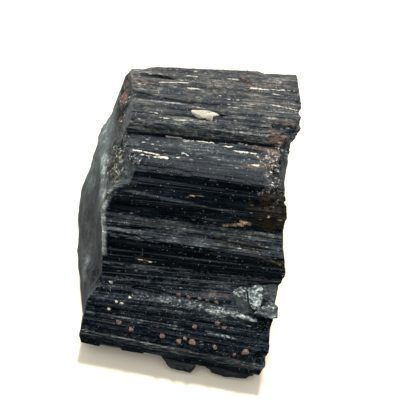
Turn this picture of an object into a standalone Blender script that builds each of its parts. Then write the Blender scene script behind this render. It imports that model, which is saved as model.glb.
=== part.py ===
"""Black tourmaline (schorl): one broken length of a striated prism that lies on a flat belly.

+X runs along the crystal's long axis, -Y is the stepped near side and +Z is up. The origin is
under the middle of the crystal, on the plane that it rests on. Sizes below are in millimetres.

The prism is an outline of named edges. Each edge is a straight line from a point on the left
fracture to a point on the right one, so the faces between edges stay flat while they taper.
Ribs run along the faces, and each end is closed by a fracture surface scooped like broken glass.
"""

import bmesh
import bpy
import numpy as np
from mathutils import Vector
from mathutils.geometry import delaunay_2d_cdt

MM = 0.001
SEED = 41
STATIONS = 24          # rings of points from one fracture to the other
RIM_STEPS = 6          # steps that find where the outline meets a fracture
FRACTURE_STEP = 2.4    # spacing of the points inside a fracture
FRACTURE_JITTER = 0.25 # how far those points stray, as a share of the spacing
RIM_CLEAR = 0.55       # how near they come to the rim, as a share of the spacing
LEFT, RIGHT = 1, 2     # the columns of EDGES that hold each end

# A rib: where its groove and its crown lie in its strip of the face, the groove's depth and the
# least rise as shares of the rib's height, and how its height swells and sinks along the crystal
GROOVE_PLACE = (0.22, 0.42)
CROWN_PLACE = (0.60, 0.85)
GROOVE_SHARE = 0.5
LEAST_RISE = 0.4
SWELL = 0.35
SWELL_LENGTH = 17.0
BREAK_RANGE = (-12.0, 20.0)

# name, left end (x, y, z), right end (x, y, z), ribs and rib height of the face after it
EDGES = (
    ("lip", (-14.8, -22.0, 2.5), (21.4, -24.2, 1.9), 2, 0.25),
    ("ridge_foot", (-15.0, -22.3, 5.9), (21.8, -24.8, 5.0), 0, 0.0),
    ("ridge_top", (-14.8, -21.8, 7.3), (21.9, -24.3, 6.6), 4, 0.22),
    ("low_line", (-14.2, -19.4, 10.4), (22.2, -21.4, 10.0), 2, 0.20),
    ("band_foot", (-13.9, -18.0, 12.0), (22.3, -18.8, 12.5), 1, 0.10),
    ("band_top", (-13.2, -16.9, 12.9), (22.6, -17.0, 14.3), 0, 0.0),
    ("gutter", (-12.8, -16.4, 12.8), (22.6, -16.5, 14.2), 2, 0.12),
    ("bench_top", (-11.0, -13.6, 15.2), (22.3, -12.6, 16.0), 1, 0.20),
    ("thin_ridge", (-11.2, -11.7, 17.0), (23.1, -11.1, 17.5), 4, 0.24),
    ("step_foot", (-10.7, -8.1, 22.5), (22.9, -8.8, 22.0), 0, 0.0),
    ("step_groove", (-10.8, -6.9, 22.9), (22.3, -7.2, 22.6), 2, 0.20),
    ("step_back", (-11.0, -5.0, 25.0), (21.9, -5.3, 24.5), 3, 0.24),
    ("dark_line", (-10.4, -3.0, 29.0), (21.7, -2.6, 29.0), 2, 0.20),
    ("crest", (-4.9, 1.0, 32.3), (20.7, -0.3, 32.8), 2, 0.12),
    ("shelf", (-8.5, 4.3, 32.8), (19.9, 4.1, 33.2), 2, 0.12),
    ("crack_lip", (-9.0, 7.8, 33.0), (19.5, 8.1, 33.3), 0, 0.0),
    ("crack_floor", (-9.0, 8.2, 32.1), (19.6, 8.5, 32.4), 0, 0.0),
    ("riser_foot", (-9.0, 8.4, 33.3), (22.4, 8.8, 33.6), 1, 0.12),
    ("riser_top", (-9.3, 9.5, 35.0), (23.3, 10.2, 35.2), 3, 0.16),
    ("top_groove_lip", (-9.7, 13.2, 35.8), (23.2, 13.6, 36.2), 0, 0.0),
    ("top_groove", (-9.9, 14.3, 35.1), (22.9, 14.9, 35.5), 2, 0.14),
    ("far_groove", (-10.4, 17.8, 35.3), (22.4, 19.0, 35.5), 2, 0.20),
    ("far_shoulder", (-10.7, 21.2, 35.0), (21.7, 23.2, 35.6), 1, 0.20),
    ("far_edge", (-11.1, 23.2, 33.6), (21.1, 25.5, 34.1), 1, 0.25),
    ("back_high", (-12.6, 24.0, 30.0), (21.2, 25.9, 30.5), 4, 0.45),
    ("back_middle", (-15.4, 24.2, 19.5), (22.3, 25.3, 20.5), 3, 0.45),
    ("back_low", (-17.9, 23.5, 10.0), (21.8, 23.8, 10.0), 3, 0.35),
    ("back_foot", (-20.4, 22.0, 3.0), (21.0, 21.8, 3.0), 1, 0.20),
    ("base_far", (-22.3, 19.4, 0.0), (20.2, 18.8, 0.0), 0, 0.0),
    ("base_near", (-17.5, -12.6, 0.0), (19.8, -14.2, 0.0), 2, 0.25),
    ("belly", (-15.7, -18.8, 1.3), (20.6, -20.8, 0.9), 2, 0.25),
)

# Points that a fracture passes through away from its rim: (x, y, z)
LEFT_HEART = (
    (-23.0, 14.0, 0.3), (-22.6, 8.0, 0.3), (-21.3, 2.6, 0.3), (-19.6, -3.0, 0.3), (-17.9, -8.7, 1.6),
    (-20.2, 14.0, 8.0), (-19.0, 2.0, 9.0), (-16.6, -9.0, 8.0), (-16.6, 14.0, 20.0), (-14.8, 2.0, 20.0),
)
RIGHT_HEART = (
    (22.3, 2.0, 10.0), (21.6, 12.0, 6.0), (23.1, 8.0, 22.0), (22.9, -8.0, 9.0), (21.2, 1.0, 2.0),
    (22.6, 15.0, 30.0),
)

# Bowls broken out of a fracture: centre (y, z), width and depth
LEFT_BOWLS = (
    ((12.0, 11.0), 17.0, 1.1), ((-3.0, 12.0), 13.0, 0.9), ((13.0, 25.0), 12.0, 0.8),
    ((3.0, 3.0), 11.0, 0.6), ((-13.0, 7.5), 7.0, 0.5), ((18.0, 4.0), 8.0, 0.5),
)
RIGHT_BOWLS = (
    ((15.0, 26.0), 15.0, 1.6), ((2.0, 22.0), 12.0, 1.3), ((17.0, 10.0), 14.0, 1.5), ((4.0, 9.0), 12.0, 1.2),
    ((-8.0, 13.0), 9.0, 0.8), ((-14.0, 7.0), 9.0, 0.9), ((-5.0, 3.0), 8.0, 0.7), ((22.0, 19.0), 8.0, 0.8),
    ((7.5, 31.0), 7.0, 1.0),
)

# Broken pieces that still cling to the prism, and chips gone from it: the corners of each (x, y, z)
CLINGING = {
    "hanging_lath": (
        (1.0, -23.4, 3.2), (2.6, -24.9, 2.0), (3.4, -25.2, 1.1), (7.6, -25.7, 0.9), (8.6, -24.0, 2.6),
        (8.3, -20.0, 0.5), (1.6, -20.0, 0.5), (4.5, -20.5, 3.4),
    ),
    "hanging_splinter": (
        (9.8, -23.9, 2.6), (11.4, -25.4, 1.1), (14.9, -25.8, 0.8), (18.4, -25.6, 0.9), (20.6, -24.8, 1.4),
        (21.4, -23.9, 2.8), (20.6, -20.5, 0.5), (10.6, -20.5, 0.5), (15.6, -21.0, 3.2),
    ),
    "broken_flake": (
        (13.8, -13.7, 15.9), (17.4, -12.4, 17.4), (19.4, -13.2, 17.7), (22.4, -11.8, 17.6),
        (22.7, -16.8, 14.6), (19.4, -17.3, 14.7), (15.9, -17.0, 14.0), (18.0, -13.0, 12.0),
    ),
}
CHIPS = {
    "crest_chip": (
        (15.4, 4.6, 34.0), (22.6, 6.0, 34.0), (23.0, -1.5, 33.6), (16.2, -1.2, 33.6),
        (17.2, 3.4, 32.3), (22.2, 4.4, 31.4), (22.4, -0.2, 30.6), (17.6, 0.6, 31.9),
    ),
    "ridge_chip": (
        (19.2, -26.4, 8.0), (24.0, -26.2, 9.0), (24.0, -21.2, 9.6), (19.6, -21.8, 8.9),
        (20.4, -24.1, 6.2), (23.4, -23.8, 4.4), (23.2, -22.4, 6.8),
    ),
}

rng = np.random.default_rng(SEED)


def clear_scene():
    for obj in list(bpy.data.objects):
        bpy.data.objects.remove(obj, do_unlink=True)


def tourmaline_material():
    material = bpy.data.materials.new("tourmaline")
    material.use_nodes = True
    shader = material.node_tree.nodes["Principled BSDF"]
    shader.inputs["Base Color"].default_value = (0.012, 0.014, 0.016, 1.0)
    shader.inputs["Roughness"].default_value = 0.35
    shader.inputs["Metallic"].default_value = 0.0
    return material


def outline_knots():
    """The outline's points, as arrays: face, place across it (0 to 1) and relief from its plane.

    Each rib is a groove and a crown. Its relief changes at a break, so it has a value on each side.
    """
    knots = []
    for face, (_, _, _, ribs, height) in enumerate(EDGES):
        knots.append((face, 0.0, 0.0, 0.0, 0.0, 0.0))
        for rib in range(ribs):
            rises = height * rng.uniform(LEAST_RISE, 1.0, 2)
            break_x = rng.uniform(*BREAK_RANGE)
            phase = rng.uniform(0.0, 2.0 * np.pi)
            groove = (rib + rng.uniform(*GROOVE_PLACE)) / ribs
            crown = (rib + rng.uniform(*CROWN_PLACE)) / ribs
            knots.append((face, groove, *(-GROOVE_SHARE * rises), break_x, phase))
            knots.append((face, crown, *rises, break_x, phase))
    return [np.array(column) for column in zip(*knots)]


def edge_points(edge, x):
    """y and z of each knot's edge at x, on the straight line through its two ends."""
    left = np.array([row[LEFT] for row in EDGES])[edge]
    right = np.array([row[RIGHT] for row in EDGES])[edge]
    share = (x - left[:, 0]) / (right[:, 0] - left[:, 0])
    return left[:, 1:] + share[..., None] * (right - left)[:, 1:]


def side_points(knots, x):
    """y and z of the outline's knots at x, one x for each knot."""
    face, across, relief_left, relief_right, break_x, phase = knots
    start = edge_points(face, x)
    end = edge_points((face + 1) % len(EDGES), x)
    run = end - start
    outward = np.stack([-run[..., 1], run[..., 0]], -1) / np.linalg.norm(run, axis=-1)[..., None]
    swell = 1.0 + SWELL * np.sin(2.0 * np.pi * x / SWELL_LENGTH + phase)
    relief = swell * np.where(x < break_x, relief_left, relief_right)
    return start + across[:, None] * run + relief[..., None] * outward


def fracture(side, heart, bowls):
    """x of a fracture over (y, z): a surface through its rim and heart points, with bowls cut out.

    The surface is a mean plus the sum of w_i * |p - p_i|, solved to pass through every point. A bowl
    follows the surface's slope at its centre, `depth` in from it, and curves back out by
    depth * (2 * distance / width)^2.
    """
    points = np.array([row[side] for row in EDGES] + list(heart))
    place, height = points[:, 1:], points[:, 0]
    spread = np.linalg.norm(place[:, None] - place[None], axis=-1)
    middle = height.mean()
    weights = np.linalg.solve(spread, height - middle)
    outward = -1.0 if side == LEFT else 1.0

    def surface(spot):
        return middle + np.linalg.norm(spot[..., None, :] - place, axis=-1) @ weights

    def x_at(spot):
        reach = outward * surface(spot)
        for centre, width, depth in bowls:
            centre = np.array(centre)
            around = centre + 0.25 * width * np.array([(1, 0), (-1, 0), (0, 1), (0, -1)])
            level = surface(around)
            slope = (level[::2] - level[1::2]) / (0.5 * width)
            away = spot - centre
            cup = depth * (4.0 * (away**2).sum(-1) / width**2 - 1.0)
            reach = np.minimum(reach, outward * (level.mean() + away @ slope) + cup)
        return outward * reach

    return x_at


def rim(knots, x_at, first_guess):
    """x of every knot where the outline meets a fracture, found by repeated steps towards it."""
    x = np.full(len(knots[0]), first_guess)
    for _ in range(RIM_STEPS):
        x = x_at(side_points(knots, x))
    return x


def inner_points(outline):
    """A staggered grid of (y, z) points inside the outline, clear of its edge."""
    low, high = outline.min(0), outline.max(0)
    row_step = FRACTURE_STEP * np.sqrt(3) / 2
    rows = np.arange(low[1], high[1], row_step)
    columns = np.arange(low[0], high[0], FRACTURE_STEP)
    y, z = np.meshgrid(columns, rows)
    y[::2] += FRACTURE_STEP / 2
    spots = np.stack([y, z], -1).reshape(-1, 2)
    spots += rng.uniform(-1.0, 1.0, spots.shape) * FRACTURE_JITTER * FRACTURE_STEP
    gap = np.linalg.norm(spots[:, None] - outline[None], axis=-1).min(1)
    return spots[(gap > RIM_CLEAR * FRACTURE_STEP) & inside(outline, spots)]


def inside(outline, spots):
    """Whether each spot is inside the closed outline, by counting the edges to its right."""
    y0, z0 = outline.T
    y1, z1 = np.roll(outline, -1, 0).T
    y, z = spots[:, :1], spots[:, 1:]
    spans = (z0 > z) != (z1 > z)
    crossing = y0 + (z - z0) * (y1 - y0) / np.where(z1 == z0, 1.0, z1 - z0)
    return (spans & (crossing > y)).sum(1) % 2 == 1


def close_end(bm, ring, x_at, outward):
    """Fills a ring of vertices with triangles that follow the fracture."""
    outline = np.array([vert.co[1:] for vert in ring])
    extra = inner_points(outline)
    places = [Vector(spot) for spot in np.vstack([outline, extra])]
    loop = [(i, (i + 1) % len(ring)) for i in range(len(ring))]
    spots, _, triangles, sources, _, _ = delaunay_2d_cdt(places, loop, [], 1, 1e-6)
    x = x_at(np.array(spots))
    verts = []
    for spot, depth, source in zip(spots, x, sources):
        on_ring = [i for i in source if i < len(ring)]
        verts.append(ring[on_ring[0]] if on_ring else bm.verts.new((depth, spot[0], spot[1])))
    for corners in triangles:
        order = corners if outward > 0 else reversed(corners)
        bm.faces.new([verts[i] for i in order])


def prism():
    """The striated prism between its two fractures, as one closed mesh."""
    knots = outline_knots()
    left_at = fracture(LEFT, LEFT_HEART, LEFT_BOWLS)
    right_at = fracture(RIGHT, RIGHT_HEART, RIGHT_BOWLS)
    left_x = rim(knots, left_at, -15.0)
    right_x = rim(knots, right_at, 21.0)
    bm = bmesh.new()
    rings = []
    for share in np.linspace(0.0, 1.0, STATIONS):
        x = left_x + share * (right_x - left_x)
        y, z = side_points(knots, x).T
        rings.append([bm.verts.new(point) for point in zip(x, y, np.maximum(z, 0.0))])
    for near, far in zip(rings, rings[1:]):
        for i in range(len(near)):
            after = (i + 1) % len(near)
            bm.faces.new((near[i], far[i], far[after], near[after]))
    close_end(bm, rings[0], left_at, -1)
    close_end(bm, rings[-1], right_at, 1)
    bmesh.ops.triangulate(bm, faces=bm.faces)
    return finished("tourmaline_crystal", bm)


def fragment(name, corners):
    """An angular piece: the hull of its corners."""
    bm = bmesh.new()
    for corner in corners:
        bm.verts.new(corner)
    hull = bmesh.ops.convex_hull(bm, input=bm.verts)
    bmesh.ops.delete(bm, geom=hull["geom_interior"], context="VERTS")
    return finished(name, bm)


def finished(name, bm):
    """An object in metres from a mesh in millimetres."""
    bmesh.ops.scale(bm, vec=(MM, MM, MM), verts=bm.verts)
    bmesh.ops.recalc_face_normals(bm, faces=bm.faces)
    mesh = bpy.data.meshes.new(name)
    bm.to_mesh(mesh)
    bm.free()
    obj = bpy.data.objects.new(name, mesh)
    bpy.context.collection.objects.link(obj)
    return obj


def combine(body, piece, operation):
    """Joins a helper piece to the body, or cuts it away, with a Boolean."""
    boolean = body.modifiers.new(piece.name, "BOOLEAN")
    boolean.operation = operation
    boolean.object = piece
    piece.hide_render = True
    piece.display_type = "WIRE"


clear_scene()
crystal = prism()
crystal.data.materials.append(tourmaline_material())
for name, corners in CHIPS.items():
    combine(crystal, fragment(name, corners), "DIFFERENCE")
for name, corners in CLINGING.items():
    combine(crystal, fragment(name, corners), "UNION")
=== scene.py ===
# %% [markdown]
# # A black tourmaline crystal
#
# Schorl, the black tourmaline, grows as long prisms whose faces are ribbed along their length.
# This one is a broken length that lies on its belly: the ribs run along X, the near side (-Y)
# climbs in steps to a flat top, and each end is a fracture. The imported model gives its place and
# size. Here the same prism is worked out with a fine grid, so that ribs, chips and cracks are
# real shape, and then it gets its minerals, its stains and its light.

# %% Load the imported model
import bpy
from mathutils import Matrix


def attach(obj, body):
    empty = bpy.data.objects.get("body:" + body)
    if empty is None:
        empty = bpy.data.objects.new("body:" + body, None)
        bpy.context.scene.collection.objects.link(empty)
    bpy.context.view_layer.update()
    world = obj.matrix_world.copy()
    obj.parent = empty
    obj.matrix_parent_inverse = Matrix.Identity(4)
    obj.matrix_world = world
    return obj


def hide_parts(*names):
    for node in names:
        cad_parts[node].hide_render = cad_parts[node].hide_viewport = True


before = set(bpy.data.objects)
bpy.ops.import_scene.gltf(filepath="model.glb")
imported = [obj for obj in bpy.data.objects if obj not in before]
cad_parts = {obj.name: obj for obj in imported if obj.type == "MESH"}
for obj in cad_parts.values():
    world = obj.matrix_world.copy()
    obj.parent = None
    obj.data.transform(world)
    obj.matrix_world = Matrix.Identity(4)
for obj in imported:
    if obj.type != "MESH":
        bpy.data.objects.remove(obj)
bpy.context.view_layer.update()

# %% Modules and units
import itertools

import bmesh
import bpy
import numpy as np
from mathutils import Vector
from mathutils.geometry import delaunay_2d_cdt

MM = 0.001  # lengths here are in millimetres and Blender's in metres
NODE = "tourmaline_crystal"

# %% [markdown]
# ## The camera
#
# A specimen on a table is looked down on from the near side. A target, a distance and two angles
# place the camera, so that the view can be checked one number at a time.

# %% Camera
CAMERA_TARGET, CAMERA_DISTANCE = np.array([5.3, 4.3, 18.0]), 180.0
CAMERA_AZIMUTH, CAMERA_ELEVATION = np.radians(7.6), np.radians(58.0)
CAMERA_LENS, SENSOR_WIDTH = 81.0, 36.0
NEAREST, FARTHEST = 0.01, 20.0  # what the camera can see, in metres


def camera_back():
    """Unit vector from the target to the camera, from its azimuth round Z and its elevation."""
    flat = np.cos(CAMERA_ELEVATION)
    sideways, forwards = np.sin(CAMERA_AZIMUTH), -np.cos(CAMERA_AZIMUTH)
    return np.array([sideways * flat, forwards * flat, np.sin(CAMERA_ELEVATION)])


def add_camera():
    data = bpy.data.cameras.new("camera")
    data.lens, data.sensor_width, data.sensor_fit = CAMERA_LENS, SENSOR_WIDTH, "HORIZONTAL"
    data.clip_start, data.clip_end = NEAREST, FARTHEST
    camera = bpy.data.objects.new("camera", data)
    bpy.context.collection.objects.link(camera)
    camera.location = Vector((CAMERA_TARGET + CAMERA_DISTANCE * camera_back()) * MM)
    camera.rotation_euler = Vector(-camera_back()).to_track_quat("-Z", "Y").to_euler()
    bpy.context.scene.camera = camera
    return camera


camera = add_camera()
print("camera at", [round(v, 4) for v in camera.location])

# %% [markdown]
# ## The prism's outline
#
# The crystal's long faces are flat, so the whole prism is a closed outline carried along X. Each
# corner of the outline is a straight edge from a point on the left fracture to one on the right.
# The edges and the coarse ribs are the solid model's, so the fine surface stays close to it.

# %% Edges: name, left end (x, y, z), right end (x, y, z), coarse ribs and their height
LEFT, RIGHT = 1, 2  # where an edge's row holds its two ends
EDGES = (
    ("lip", (-14.8, -22.0, 1.9), (20.6, -24.2, 1.5), 2, 0.25),
    ("ridge_foot", (-15.0, -22.3, 5.9), (21.5, -24.8, 5.0), 0, 0.0),
    ("ridge_top", (-14.8, -21.8, 7.3), (21.8, -24.3, 6.6), 4, 0.10),
    ("low_line", (-14.2, -19.4, 10.4), (22.1, -21.4, 10.0), 2, 0.12),
    ("band_foot", (-13.9, -18.0, 12.0), (22.0, -18.8, 12.5), 1, 0.10),
    ("band_top", (-13.2, -16.9, 12.9), (22.2, -17.0, 14.3), 0, 0.0),
    ("gutter", (-12.8, -16.4, 12.8), (22.0, -16.5, 14.2), 2, 0.12),
    ("bench_top", (-11.0, -13.6, 15.2), (21.6, -12.6, 16.0), 1, 0.20),
    ("thin_ridge", (-11.6, -11.7, 17.0), (23.1, -11.1, 17.5), 4, 0.24),
    ("step_foot", (-11.8, -8.1, 22.5), (22.9, -8.8, 22.0), 0, 0.0),
    ("step_groove", (-11.8, -6.9, 22.9), (22.3, -7.2, 22.6), 2, 0.20),
    ("step_back", (-12.1, -5.0, 25.0), (21.9, -5.3, 24.5), 3, 0.24),
    ("dark_line", (-11.6, -3.0, 29.0), (22.1, -2.6, 29.0), 2, 0.20),
    ("crest", (-6.2, 1.0, 32.3), (21.1, -0.3, 32.8), 2, 0.12),
    ("shelf", (-8.5, 4.3, 32.8), (19.9, 4.1, 33.2), 2, 0.12),
    ("crack_lip", (-9.0, 7.8, 33.0), (19.5, 8.1, 33.3), 0, 0.0),
    ("crack_floor", (-9.0, 8.2, 32.6), (19.6, 8.5, 32.9), 0, 0.0),
    ("riser_foot", (-9.0, 8.4, 33.3), (21.2, 8.8, 33.6), 1, 0.12),
    ("riser_top", (-9.3, 9.5, 35.0), (23.3, 10.2, 35.2), 3, 0.16),
    ("top_groove_lip", (-9.7, 13.2, 35.8), (23.2, 13.6, 36.2), 0, 0.0),
    ("top_groove", (-9.9, 14.3, 35.1), (22.9, 14.9, 35.5), 2, 0.14),
    ("far_groove", (-10.4, 17.8, 35.3), (22.4, 19.0, 35.5), 2, 0.20),
    ("far_shoulder", (-10.7, 21.2, 35.0), (21.7, 23.2, 35.6), 1, 0.20),
    ("far_edge", (-10.5, 23.2, 33.6), (21.1, 25.5, 34.1), 1, 0.25),
    ("back_high", (-12.6, 24.0, 30.0), (21.2, 25.9, 30.5), 4, 0.45),
    ("back_middle", (-15.4, 24.2, 19.5), (22.3, 25.3, 20.5), 3, 0.45),
    ("back_low", (-17.9, 23.5, 10.0), (21.8, 23.8, 10.0), 3, 0.35),
    ("back_foot", (-20.4, 22.0, 3.0), (21.0, 21.8, 3.0), 1, 0.20),
    ("base_far", (-22.3, 19.4, 0.0), (20.2, 18.8, 0.0), 0, 0.0),
    ("base_near", (-17.5, -12.6, 0.0), (19.8, -14.2, 0.0), 2, 0.25),
    ("belly", (-15.7, -18.8, 1.3), (20.6, -20.8, 0.9), 2, 0.25),
)
EDGE_NAMES = [row[0] for row in EDGES]
LEFT_ENDS = np.array([row[LEFT] for row in EDGES])
RIGHT_ENDS = np.array([row[RIGHT] for row in EDGES])


def edge_points(edge, x):
    """y and z of numbered edges at x: left end + share * (right end - left end)."""
    left, right = LEFT_ENDS[edge], RIGHT_ENDS[edge]
    share = (x - left[..., 0]) / (right[..., 0] - left[..., 0])
    return left[..., 1:] + share[..., None] * (right - left)[..., 1:]


MIDDLE_X = 5.0
corners = edge_points(np.arange(len(EDGES)), np.full(len(EDGES), MIDDLE_X))
face_width = np.linalg.norm(np.roll(corners, -1, 0) - corners, axis=1)
face_start = np.concatenate([[0.0], np.cumsum(face_width)])
print("way round the outline:", round(face_start[-1], 1), "mm over", len(EDGES), "faces")

# %% [markdown]
# ## Columns round the outline
#
# A grid surface needs points where the eye looks: every eighth of a millimetre on the faces that
# show, which is finer than the thinnest rib, fewer on the back and hardly any on the flat belly.

# %% Columns
FINE_SPACING = 0.125
BACK_SPACING = dict.fromkeys(("back_high", "back_middle", "back_low", "back_foot"), 0.36)
SPACING = {"far_edge": 0.25, "base_far": 1.0, "base_near": 0.4, "belly": 0.3, **BACK_SPACING}


def outline_columns():
    """Face number and place across it (0 to 1) of every column, evenly spaced on each face."""
    faces, places = [], []
    for face, name in enumerate(EDGE_NAMES):
        count = int(np.ceil(face_width[face] / SPACING.get(name, FINE_SPACING)))
        faces.append(np.full(count, face))
        places.append(np.arange(count) / count)
    return np.concatenate(faces), np.concatenate(places)


column_face, column_place = outline_columns()
column_s = face_start[column_face] + column_place * face_width[column_face]
print(len(column_face), "columns")


def way_round(name, share):
    """Distance round the outline, in mm, of a place a share of the way across a named face."""
    face = EDGE_NAMES.index(name)
    return face_start[face] + share * face_width[face]

# %% [markdown]
# ## Ribs
#
# The ribs run the whole length but change height, because the crystal is a bundle of laths and
# many of them have snapped short. A rib is two knots, a groove and a crown, and the relief
# between knots is a straight line, which gives the flat little facets that catch the light.
# Laths are finer than the solid's ribs and change height in cells along X, in sudden steps.

# %% Coarse ribs, as in the solid
COARSE_SEED = 41
GROOVE_PLACE, CROWN_PLACE = (0.22, 0.42), (0.60, 0.85)
GROOVE_SHARE, LEAST_RISE = 0.5, 0.4
SWELL, SWELL_LENGTH = 0.35, 17.0
BREAK_RANGE = (-12.0, 20.0)


def coarse_knots():
    """Columns of knots: way round, relief left and right of a break, the break's x, phase."""
    rng = np.random.default_rng(COARSE_SEED)
    knots = []
    for face, (_, _, _, ribs, height) in enumerate(EDGES):
        knots.append((face_start[face], 0.0, 0.0, 0.0, 0.0))
        for rib in range(ribs):
            rises = height * rng.uniform(LEAST_RISE, 1.0, 2)
            break_x = rng.uniform(*BREAK_RANGE)
            phase = rng.uniform(0.0, 2.0 * np.pi)
            groove = (rib + rng.uniform(*GROOVE_PLACE)) / ribs
            crown = (rib + rng.uniform(*CROWN_PLACE)) / ribs
            start, width = face_start[face], face_width[face]
            knots.append((start + groove * width, *(-GROOVE_SHARE * rises), break_x, phase))
            knots.append((start + crown * width, *rises, break_x, phase))
    knots.append((face_start[-1], 0.0, 0.0, 0.0, 0.0))
    return np.array(knots).T


def between_knots(place, s, height):
    """Straight line between the height of the knot before s and that of the knot after it."""
    after = np.clip(np.searchsorted(place, s, side="right"), 1, len(place) - 1)
    share = (s - place[after - 1]) / np.maximum(place[after] - place[after - 1], 1e-6)
    return (1.0 - share) * height(after - 1) + share * height(after)


coarse = coarse_knots()


def coarse_relief(x, s):
    """Height of the coarse ribs, whose knots swell along x as a sine."""
    place, relief_left, relief_right, break_x, phase = coarse

    def height(knot):
        swell = 1.0 + SWELL * np.sin(2.0 * np.pi * x / SWELL_LENGTH + phase[knot])
        return swell * np.where(x < break_x[knot], relief_left[knot], relief_right[knot])

    return between_knots(place, s, height)


print(coarse.shape[1], "coarse knots")

# %% Laths: fine ribs that break along their length
LATH_SEED, TONE_SHIFT = 7, 17
CELL_COUNT, CELL_LENGTH, CELL_START = 40, (1.5, 14.0), -40.0
EVENNESS = 0.55  # how evenly a face's laths share it, from 0 to 1
# lath width, height and share of cells that have snapped away, by the face that they lie on
LATHS = {
    "lip": (0.9, 0.14, 0.35), "ridge_foot": (0.5, 0.02, 0.05), "ridge_top": (0.42, 0.03, 0.2),
    "low_line": (0.42, 0.04, 0.3), "band_foot": (0.5, 0.03, 0.3), "band_top": (0.5, 0.02, 0.3),
    "gutter": (0.5, 0.04, 0.2), "bench_top": (0.36, 0.05, 0.2), "thin_ridge": (0.42, 0.06, 0.12),
    "step_foot": (0.36, 0.05, 0.3), "step_groove": (0.36, 0.06, 0.3), "step_back": (0.45, 0.04, 0.25),
    "dark_line": (0.45, 0.035, 0.25), "crest": (0.34, 0.018, 0.15), "shelf": (0.34, 0.018, 0.15),
    "riser_foot": (0.4, 0.02, 0.1), "riser_top": (0.45, 0.025, 0.15), "top_groove_lip": (0.4, 0.03, 0.25),
    "top_groove": (0.4, 0.02, 0.2), "far_groove": (0.45, 0.03, 0.25), "far_shoulder": (0.5, 0.03, 0.2),
}
LATH_DEFAULT = (0.9, 0.10, 0.15)
PLAIN_FACES = ("base_far", "crack_lip", "crack_floor")


def lath_knots():
    """Columns of knots: way round, height, snapped share, cell length, cell phase, lath number."""
    rng = np.random.default_rng(LATH_SEED)
    knots = []
    number = 0
    for face, name in enumerate(EDGE_NAMES):
        start, width = face_start[face], face_width[face]
        knots.append((start, 0.0, 0.0, 5.0, 0.0, number))
        lath, height, snapped = LATHS.get(name, LATH_DEFAULT)
        count = 0 if name in PLAIN_FACES else max(1, round(width / lath))
        bounds = np.sort(rng.uniform(0.0, 1.0, max(count - 1, 0)))
        if count:
            bounds = (1.0 - EVENNESS) * bounds + EVENNESS * np.arange(1, count) / count
        ends = np.concatenate([[0.0], bounds, [1.0]])
        for low, high in zip(ends[:-1], ends[1:]) if count else ():
            number += 1
            cell, phase = rng.uniform(*CELL_LENGTH), rng.uniform(0.0, 1.0)
            rise = height * rng.uniform(0.3, 1.5)
            groove = low + (high - low) * rng.uniform(0.1, 0.4)
            crown = low + (high - low) * rng.uniform(0.55, 0.9)
            knots.append((start + groove * width, -0.6 * rise, snapped, cell, phase, number))
            knots.append((start + crown * width, rise, snapped, cell, phase, number))
    knots.append((face_start[-1], 0.0, 0.0, 5.0, 0.0, number))
    return np.array(knots).T


lath_place, lath_height, lath_snapped, lath_cell, lath_phase, lath_number = lath_knots()
lath_number = lath_number.astype(int)
lath_table = np.random.default_rng(LATH_SEED + 1).uniform(0.0, 1.0, (lath_number.max() + 1, CELL_COUNT))


def lath_chance(knot, x, shift=0):
    """The random number, 0 to 1, of the cell along x of each knot's lath, or of a cell further on."""
    index = np.floor((x - CELL_START) / lath_cell[knot] + lath_phase[knot]).astype(int) % CELL_COUNT
    return lath_table[lath_number[knot], (index + shift) % CELL_COUNT]


def lath_relief(x, s):
    """Height of the laths: (0.35 + chance) times their knots' height, or sunk where snapped."""

    def height(knot):
        chance = lath_chance(knot, x)
        sunk = -0.9 * np.abs(lath_height[knot])
        return np.where(chance < lath_snapped[knot], sunk, (0.35 + chance) * lath_height[knot])

    return between_knots(lath_place, s, height)


def lath_tone(x, s):
    """A random number, 0 to 1, that is the same over a whole lath cell."""
    knot = np.clip(np.searchsorted(lath_place, s, side="right"), 1, len(lath_place) - 1) - 1
    return lath_chance(knot, x, TONE_SHIFT)


print(lath_number.max(), "laths")

# %% [markdown]
# ## Strokes
#
# Grooves, raised lines, streaks of other minerals and stains all run along the laths, so one
# helper draws them all: a line between two places on the side, with a width and soft ends.

# %% Strokes, bulges and grooves
def smooth(value, low, high):
    """0 below low, 1 above high, and 3t^2 - 2t^3 between."""
    t = np.clip((value - low) / (high - low), 0.0, 1.0)
    return t * t * (3.0 - 2.0 * t)


def stroke(x, s, start, end, width, fade):
    """1 on the line between two (x, face, share) places, 0 at its half width, soft over its ends.

    The half width is one number, or one at the start and one at the end.
    """
    start_s, end_s = way_round(*start[1:]), way_round(*end[1:])
    first, last = np.broadcast_to(width, 2)
    along = (x - start[0]) / (end[0] - start[0])
    wide = first + np.clip(along, 0.0, 1.0) * (last - first)
    away = np.abs(s - start_s - along * (end_s - start_s)) / wide
    length = end[0] - start[0]
    ends = smooth(along * length, -fade, fade) * (1.0 - smooth((along - 1.0) * length, -fade, fade))
    return (1.0 - smooth(away, 0.3, 1.0)) * ends


def strokes_in(table):
    """Start, end, half width and strength of a table's strokes.

    A table has a face's name, or the names of a first and a last face, and then rows of x and
    share at the start, x and share at the end, half width and strength.
    """
    for faces, rows in table.items():
        first, last = faces.split()[0], faces.split()[-1]
        for x0, share0, x1, share1, width, strength in rows:
            yield (x0, first, share0), (x1, last, share1), width, strength


BULGES = {
    "lip": 0.45, "ridge_foot": 0.22, "ridge_top": 0.36, "low_line": -0.10, "thin_ridge": 0.10,
    "riser_foot": 0.08,
}
GROOVE_FADE = 1.2
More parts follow.
